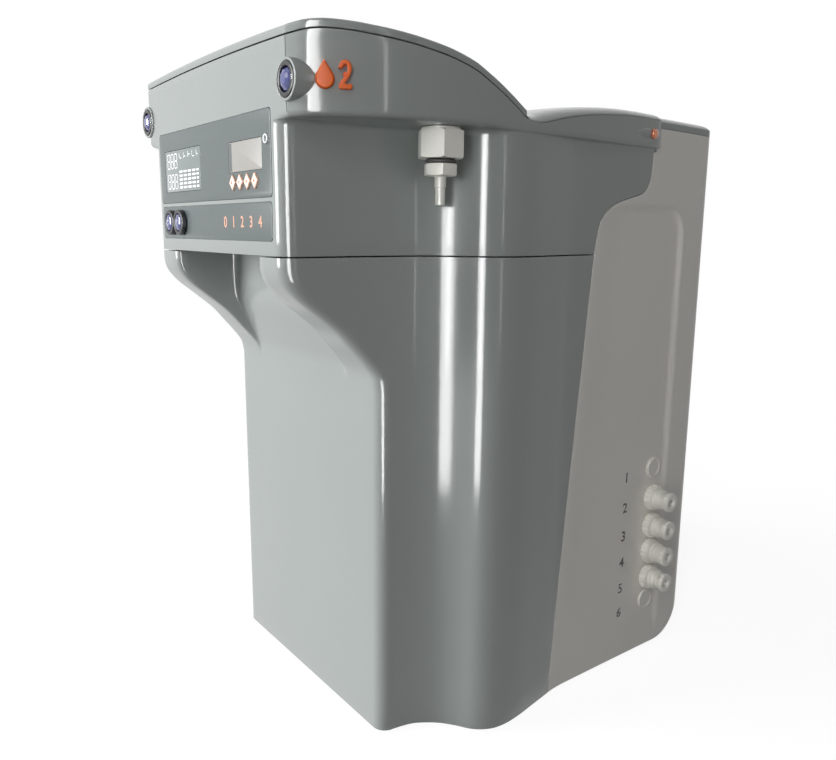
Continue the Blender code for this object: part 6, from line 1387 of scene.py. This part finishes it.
# Ridges round a piece: their count and depth, and the radius beyond which they lie
NUT_RIDGES, COLLET_RIDGES, CAP_RIDGES = (18, 0.8 * MM), (16, 0.5 * MM), (30, 0.6 * MM)
NUT_RIDGE_RADIUS, COLLET_RIDGE_RADIUS, CAP_RIDGE_RADIUS = 10 * MM, 8.3 * MM, 20 * MM
PORT_NUMBER_OFFSET, PORT_NUMBER_DROP = 36 * MM, 8 * MM
STRIP_NUMBER_X, STRIP_NUMBER_PITCH, STRIP_NUMBER_RISE = 27 * MM, 14 * MM, 9 * MM
# Figures: height, and the levels of their back and front
PORT_NUMBER = (9 * MM, -0.4 * MM, 0.12 * MM)
STRIP_NUMBER = (7.5 * MM, FACE_RISE - 0.3 * MM, FACE_RISE + 0.1 * MM)
STRIP_NUMBERS = 5


def ridges(angle, count, depth):
    return -depth * (0.5 - 0.5 * cos(count * angle))


def nut_knurl(angle, radius, height):
    on_nut = FIT < height < NUT_END - 0.1 * MM and radius > NUT_RIDGE_RADIUS
    return ridges(angle, *NUT_RIDGES) if on_nut else 0


def collet_grip(angle, radius, height):
    return ridges(angle, *COLLET_RIDGES) if radius > COLLET_RIDGE_RADIUS else 0


def ports():
    bore, nut, body = PORT_BORE_RADIUS, PORT_NUT_RADIUS, PORT_BODY_RADIUS
    fitting = [(bore, 0), (bore, -PORT_SHANK_LENGTH), (PORT_SHANK_RADIUS, -PORT_SHANK_LENGTH),
               (PORT_SHANK_RADIUS, FIT), (nut - 1.0 * MM, FIT), (nut, FIT + 1.0 * MM),
               (nut, NUT_END - 1.2 * MM), (nut - 1.2 * MM, NUT_END), (body - 1.0 * MM, NUT_END),
               (body - 1.0 * MM, NUT_END + 0.7 * MM)]
    for k in range(2):
        start = NUT_END + PORT_BODY_LENGTH / 2 * (k + 0.25)
        end = start + PORT_BODY_LENGTH / 4
        fitting += [(body, start), (PORT_RIB_RADIUS, start + 0.3 * MM), (PORT_RIB_RADIUS, end - 0.3 * MM),
                    (body, end)]
    sleeve = COLLET_SLEEVE_RADIUS + FIT
    fitting += [(body, RIB_END), (PORT_NECK_RADIUS, RIB_END + 0.6 * MM), (PORT_NECK_RADIUS, PORT_MOUTH),
                (sleeve, PORT_MOUTH), (sleeve, COLLET_POCKET), (bore, COLLET_POCKET), (bore, 0.2 * MM)]
    start = COLLET_POCKET + COLLET_TRAVEL_ROOM
    flange = PORT_MOUTH + COLLET_TRAVEL_ROOM
    end = flange + COLLET_FLANGE_LENGTH
    wide = COLLET_FLANGE_RADIUS
    collet = [(bore, end - 3 * MM), (bore, start), (COLLET_SLEEVE_RADIUS, start),
              (COLLET_SLEEVE_RADIUS, flange), (wide, flange), (wide, end - 1.0 * MM), (wide - 1.0 * MM, end),
              (bore + 1.0 * MM, end), (bore, end - 1.4 * MM), (bore, end - 2.6 * MM)]
    for number, z in enumerate(PORT_HEIGHTS, start=1):
        place = (PORT_SURFACE, PORT_SETBACK, z)
        for name, profile, ripple, more in (
                ("body", fitting, nut_knurl, {"replaces": [f"port_fitting_{number}"]}),
                ("ring", collet, collet_grip, {"replaces": [f"port_collet_{number}"],
                                               "body": f"collet_{number}"})):
            solid = turned(rounded(profile, PORT_EDGE), place, RIGHT, PORT_SIDES, ripple)
            piece(f"port_{name}_{number}", solid, "fitting", **more)
    blanks = Solid()
    wide, proud = BLANK_RADIUS, BLANK_PROUD
    floor = proud - BLANK_FLOOR_DEPTH
    disc = rounded([(0, -OVERRUN), (wide, -OVERRUN), (wide, proud), (wide - BLANK_LIP, proud),
                    (wide - BLANK_FLOOR_MARGIN, floor), (0, floor)], BLANK_EDGE, 5)
    for z in BLANK_HEIGHTS:
        blanks.join(turned(disc, (PORT_SURFACE, PORT_SETBACK, z), RIGHT))
    piece("blank_discs", blanks, "white_shell")


def number_solid(text, height, low, high):
    """Solid figures of a height, on a base line, with their middle at x zero."""
    curve = bpy.data.curves.new("figures", "FONT")
    curve.body = text
    curve.align_x = "CENTER"
    curve.extrude = 0.5
    curve.offset = 0.012
    thing = bpy.data.objects.new("figures", curve)
    bpy.context.scene.collection.objects.link(thing)
    graph = bpy.context.evaluated_depsgraph_get()
    graph.update()
    mesh = bpy.data.meshes.new_from_object(thing.evaluated_get(graph))
    scale = height / max(v.co.y for v in mesh.vertices)
    points = [(v.co.x * scale, v.co.y * scale, high if v.co.z > 0 else low) for v in mesh.vertices]
    solid = Solid().add(points, [tuple(face.vertices) for face in mesh.polygons])
    bpy.data.objects.remove(thing)
    bpy.data.meshes.remove(mesh)
    return solid


def port_numbers():
    figures, scale = Solid(), Solid()
    setback = PORT_SETBACK - PORT_NUMBER_OFFSET
    heights = (BLANK_HEIGHTS[0],) + PORT_HEIGHTS + (BLANK_HEIGHTS[1],)
    for number, z in enumerate(heights, start=1):
        surface = side_x(setback) - recess_depth(setback, z)
        place = Matrix.Translation((surface, setback, z - PORT_NUMBER_DROP))
        figures.join(number_solid(str(number), *PORT_NUMBER).moved(place @ SIDE_FRAME))
    piece("port_numbers", figures, "black", slot="white_shell")
    for number in range(STRIP_NUMBERS):
        place = Matrix.Translation((STRIP_NUMBER_X + STRIP_NUMBER_PITCH * number, 0,
                                    STRIP_BASE + STRIP_NUMBER_RISE))
        figure = number_solid(str(number), *STRIP_NUMBER)
        scale.join(figure.moved(place @ FRONT_FRAME))
    piece("strip_numbers", scale, "print_copper", slot="panel")


# Underside and inlet; the bare figures are millimetres

FOOT = ((0, -2.2), (6, -2.2), (6.8, -3), (11.8, -3), (13, -1.8), (13, 0.2), (0, 0.2))
BASE_SCREWS = ((0, 84), (60, 84), (138, 160), (128, 250), (138, 380), (50, 384))
INLET_SOCKET = ((12, -9), (12, 4), (7, 9), (-7, 9), (-12, 4), (-12, -9))
INLET_PINS = ((-7, -3), (0, 3), (7, -3))
INLET_SCREWS = (-20, 20)
INLET_FLANGE, INLET_BODY = (-25, -14, 25, 14, 3), (-14, -11, 14, 11, 2)
INLET_DEPTH, SOCKET_DEPTH, PIN_ROOT, PIN_END = 20 * MM, 17 * MM, 17.5 * MM, 3 * MM
BASE_SCREW_RADIUS, INLET_SCREW_RADIUS, INLET_SCREW_SINK = 3.2 * MM, 2.6 * MM, 1.5 * MM
INLET_FRAME = Matrix(((-1, 0, 0, 0), (0, 0, 1, 0), (0, 1, 0, 0), (0, 0, 0, 1)))


def screw(radius, place, direction):
    """Round screw head."""
    head = turned(rounded([(0, -0.2 * MM), (radius, -0.2 * MM), (radius, 0.35 * radius),
                           (0.55 * radius, 0.6 * radius), (0, 0.62 * radius)], 0.3 * radius, 4), sides=32)
    return head.moved(facing(place, direction))


def mm_rectangle(*sizes):
    """Rounded rectangle from two corners and a radius, all in millimetres."""
    return rounded_rectangle(*(MM * size for size in sizes))


def underside():
    for end, (x, y) in FOOT_PLACES.items():
        for side, word in SIDE_WORDS.items():
            pad = turned(rounded(in_metres(FOOT), 0.5 * MM), (side * x, y, 0))
            piece(f"{end}_pad_{word}", pad, "rubber", replaces=[f"{end}_foot_{word}"])
    screws = Solid()
    for x, y in BASE_SCREWS:
        for side in ((1, -1) if x else (1,)):
            screws.join(screw(BASE_SCREW_RADIUS, (side * x * MM, y * MM, BASE_LIFT), (0, 0, -1)))
    piece("base_screws", screws, "steel")
    depth = INLET_FLANGE_THICKNESS
    turn = Matrix.Translation((INLET_X, BODY_DEPTH + FIT, INLET_HEIGHT)) @ INLET_FRAME
    flange = softened(mm_rectangle(*INLET_FLANGE), 0, depth, 0.8 * MM)
    inlet = piece("inlet", flange, "black", replaces=["mains_inlet"], moved=turn)
    body = prism(mm_rectangle(*INLET_BODY), depth - INLET_DEPTH, 1 * MM)
    socket = prism(rounded_outline(in_metres(INLET_SOCKET), 1 * MM), depth - SOCKET_DEPTH, 5 * MM)
    combine(inlet, ("UNION", body.moved(turn)), ("DIFFERENCE", socket.moved(turn)))
    pins, screws = Solid(), Solid()
    for x, z in INLET_PINS:
        pins.join(softened(mm_rectangle(x - 1, z - 2, x + 1, z + 2, 0.4), depth - PIN_ROOT, depth - PIN_END,
                           0.5 * MM))
    piece("inlet_pins", pins, "steel", slot="black", moved=turn)
    for x in INLET_SCREWS:
        place = (INLET_X + x * MM, BODY_DEPTH + FIT + depth - INLET_SCREW_SINK, INLET_HEIGHT)
        screws.join(screw(INLET_SCREW_RADIUS, place, BACK))
    piece("inlet_screws", screws, "steel", slot="black")


# Inside; the bare figures are millimetres, and each canister has radius, height, x, y and base

CANISTERS = {"twin": (32, 270, 33.3, 170, 6.1), "second": (32, 270, 33.3, 245, 6.1),
             "prefilter": (32, 250, -33.3, 236, 114.3), "membrane": (30, 300, -31.3, 160, 114.3)}
VALVE = ((0, -1), (10, -1), (10, 3), (12, 3), (12, 24), (10, 24), (10, 30), (4, 30), (4, 38), (0, 38))
VALVE_TOP = MM * VALVE[-1][1]
CAP_RADIUS, CAP_HEIGHT = 24, 16
CANISTER_RIBS, CANISTER_SIDES = (12, 17, 22), 120
CANISTER_HEAD = (-23, 170, 23, 245, 6)
CANISTER_HEAD_LOW, CANISTER_HEAD_HIGH = 271 * MM, 287 * MM
VALVE_BLOCK, VALVE_BLOCK_BASE = (1.3, 140, 41.3, 204, 3), 345 * MM
PUMP_PLACE = (-46 * MM, 140 * MM, 44.1 * MM)
PUMP_FOOT, PUMP_FOOT_LOW, PUMP_FOOT_HIGH = (-81, 185, -11, 265, 4), 6.1 * MM, 18.1 * MM
PUMP_RIBS = range(12, 84, 9)
PUMP_START = ((0, 0), (24, 0), (27, 3))
PUMP_END = ((27, 95), (33, 95), (33, 130), (28, 133), (0, 133))


def canister(radius, height, x, y, base):
    """Upright canister with ribs, a shoulder and a knurled cap."""
    profile = [(0, 0), (radius - 2, 0), (radius, 2)]
    for z in CANISTER_RIBS:
        profile += [(radius, z), (radius - 0.8, z + 0.8), (radius - 0.8, z + 2), (radius, z + 2.8)]
    top = height + CAP_HEIGHT
    profile += [(radius, height - 8), (CAP_RADIUS, height), (CAP_RADIUS, top), (0, top)]

    def grip(angle, reach, z):
        return ridges(angle, *CAP_RIDGES) if z > height * MM and reach > CAP_RIDGE_RADIUS else 0

    return turned(rounded(in_metres(profile), 0.8 * MM), (x * MM, y * MM, base * MM), sides=CANISTER_SIDES,
                  ripple=grip)


def smooth_tube(points, radius):
    last = len(points) - 1
    tables = [[(k / last, p[axis]) for k, p in enumerate(points)] for axis in range(3)]
    path = [Vector([smooth_value(table, s) for table in tables]) for s in spread(0, 1, HOSE_STEPS)]
    side = Vector((0, 1, 0))
    angles = [2 * pi * n / HOSE_SIDES for n in range(HOSE_SIDES)]
    rings = []
    for k, point in enumerate(path):
        ahead = (path[min(k + 1, HOSE_STEPS)] - path[max(k - 1, 0)]).normalized()
        if k in (0, HOSE_STEPS):
            ahead = Vector((0, 0, 1 if k == 0 else -1))
        side = (side - ahead * side.dot(ahead)).normalized()
        up = ahead.cross(side)
        rings.append([point + radius * (side * cos(a) + up * sin(a)) for a in angles])
    return loft(rings)


def inside():
    twin, second, prefilter, membrane = (canister(*sizes) for sizes in CANISTERS.values())
    _, _, x, _, base = CANISTERS["twin"]
    lift = Matrix.Translation((x * MM, 0, base * MM))
    head = softened(mm_rectangle(*CANISTER_HEAD), CANISTER_HEAD_LOW, CANISTER_HEAD_HIGH, 2 * MM).moved(lift)
    thing = piece("ion_canisters", twin, "cartridge", replaces=["deionising_cartridge"])
    combine(thing, ("UNION", head), ("UNION", second))
    piece("prefilter", prefilter, "cartridge", replaces=["prefilter_cartridge"])
    piece("membrane_tube", membrane, "cartridge", replaces=["reverse_osmosis_module"])
    valves = Solid()
    for x, y in VALVE_PLACES:
        valves.join(turned(rounded(in_metres(VALVE), 0.6 * MM), (x, y, MANIFOLD_TOP)))
    block_solid = softened(mm_rectangle(*VALVE_BLOCK), VALVE_BLOCK_BASE, MANIFOLD_TOP, 1.2 * MM)
    thing = piece("valve_block", block_solid, "fitting", replaces=["valve_manifold"])
    combine(thing, ("UNION", valves))
    outlet_top = RIM_BASE_HEIGHT - CEILING_SLOPE + NOZZLE_SHANK_LENGTH
    for (side, word), (x, y) in zip(SIDE_WORDS.items(), VALVE_PLACES):
        points = [(x, y, MANIFOLD_TOP + VALVE_TOP + FIT)] + in_metres(HOSE_ROUTES[word])
        points.append((side * NOZZLE_X, NOZZLE_SETBACK, outlet_top))
        piece("hose_" + word, smooth_tube(points, HOSE_RADIUS), "hose", replaces=["water_hose_" + word])
    drive = list(PUMP_START)
    for y in PUMP_RIBS:
        drive += [(27, y), (25.6, y + 1), (25.6, y + 4), (27, y + 5)]
    drive += PUMP_END
    motor = turned(rounded(in_metres(drive), 0.8 * MM), PUMP_PLACE, BACK)
    pump = piece("pump", motor, "pump_metal", replaces=["booster_pump"], slot="pump_metal")
    foot = softened(mm_rectangle(*PUMP_FOOT), PUMP_FOOT_LOW, PUMP_FOOT_HIGH, 1 * MM)
    combine(pump, ("UNION", foot))


def dress_nodes():
    """Give the solids that stay shown the looks of their material slots."""
    for row in frame["record"]["subparts"]:
        data = frame["nodes"][row["node"]].data
        data.materials.clear()
        data.materials.append(LOOKS[row["material_slot"]])


# Stage

FLOOR_SIZE = 30.0
FLOOR_LIFT = 0.90
FLOOR_GREY = (0.13, 0.13, 0.13, 1)
FADE_START, FADE_END = 0.45, 0.9
WORLD_GREY, WORLD_STRENGTH = (0.55, 0.57, 0.60, 1), 0.04
LAMPS = (
    # name, place, target, width, height, power, share in the plain light
    ("window", (-1.25, -2.35, 0.80), (0, -0.1, 0.20), 1.3, 1.5, 102.0, True),
    ("right_strip", (0.93, -1.22, 0.80), (0.14, -0.07, 0.35), 0.11, 1.7, 7.5, True),
    ("right_glow", (0.46, -0.52, 0.46), (0.14, -0.07, 0.46), 0.17, 0.9, 10.5, False),
    ("side_strip", (1.85, -0.22, 0.80), (0.14, -0.07, 0.35), 0.06, 1.7, 3.0, True),
    ("ceiling", (0.0, -0.1, 2.6), (0, 0, 0.2), 2.0, 2.0, 4.0, True),
)


def view_mix(tree, plain, viewed):
    """Mix of two shaders, the second where a ray comes from the camera, a mirror or through glass."""
    path = add_node(tree, "LightPath")
    first, second = (add_node(tree, "Math", operation="MAXIMUM") for _ in range(2))
    mix = add_node(tree, "MixShader")
    wire(tree, (path, "Is Camera Ray", first, 0), (path, "Is Glossy Ray", first, 1), (first, 0, second, 0),
         (path, "Is Transmission Ray", second, 1), (second, 0, mix, "Fac"), (plain, 0, mix, 1),
         (viewed, 0, mix, 2))
    return mix


def background():
    world = bpy.data.worlds.new("studio")
    bpy.context.scene.world = world
    world.use_nodes = True
    tree = world.node_tree
    ground = set_up(tree.nodes["Background"], Color=WORLD_GREY, Strength=WORLD_STRENGTH)
    white = add_node(tree, "Background", Strength=1.0, Color=(1, 1, 1, 1))
    wire(tree, (view_mix(tree, ground, white), 0, tree.nodes["World Output"], "Surface"))


def make_floor():
    """Dark floor for the light, and a white one with the object's shadow for the view."""
    mesh = bpy.data.meshes.new("floor")
    half = FLOOR_SIZE / 2
    mesh.from_pydata([(x, y, 0) for x, y in ((-half, -half), (half, -half), (half, half), (-half, half))],
                     [], [(0, 1, 2, 3)])
    floor = bpy.data.objects.new("floor", mesh)
    bpy.context.scene.collection.objects.link(floor)
    material, tree, main = shader("floor_look")
    set_up(main, Base_Color=FLOOR_GREY, Roughness=0.9)
    bright = add_node(tree, "Emission", Strength=1.0)
    glow = add_node(tree, "Emission", Strength=FLOOR_LIFT)
    both = add_node(tree, "AddShader")
    place = add_node(tree, "TexCoord")
    reach = add_node(tree, "VectorMath", operation="LENGTH")
    fade = add_node(tree, "MapRange", From_Min=FADE_START, From_Max=FADE_END)
    near = add_node(tree, "MixShader")
    wire(tree, (main, 0, both, 0), (glow, 0, both, 1), (place, "Object", reach, 0),
         (reach, "Value", fade, "Value"), (fade, "Result", near, "Fac"), (both, 0, near, 1),
         (bright, 0, near, 2))
    wire(tree, (view_mix(tree, main, near), 0, tree.nodes["Material Output"], "Surface"))
    mesh.materials.append(material)


def stage():
    scene = bpy.context.scene
    scene.view_settings.view_transform = "Standard"
    background()
    make_floor()
    for name, place, target, width, height, power, plain in LAMPS:
        data = bpy.data.lights.new(name, "AREA")
        data.shape = "RECTANGLE"
        data.size, data.size_y = width, height
        data.energy = power
        lamp = bpy.data.objects.new(name, data)
        lamp.visible_diffuse = plain
        lamp.location = place
        lamp.rotation_mode = "QUATERNION"
        lamp.rotation_quaternion = (Vector(target) - Vector(place)).to_track_quat("-Z", "Y")
        scene.collection.objects.link(lamp)


for step in (camera, dress_nodes, lower_housing, upper_housing, rear_housing, rear_top_cover, top_lid,
             display, buttons, rim_marks, nozzles, ports, port_numbers, underside, inside, stage):
    step()
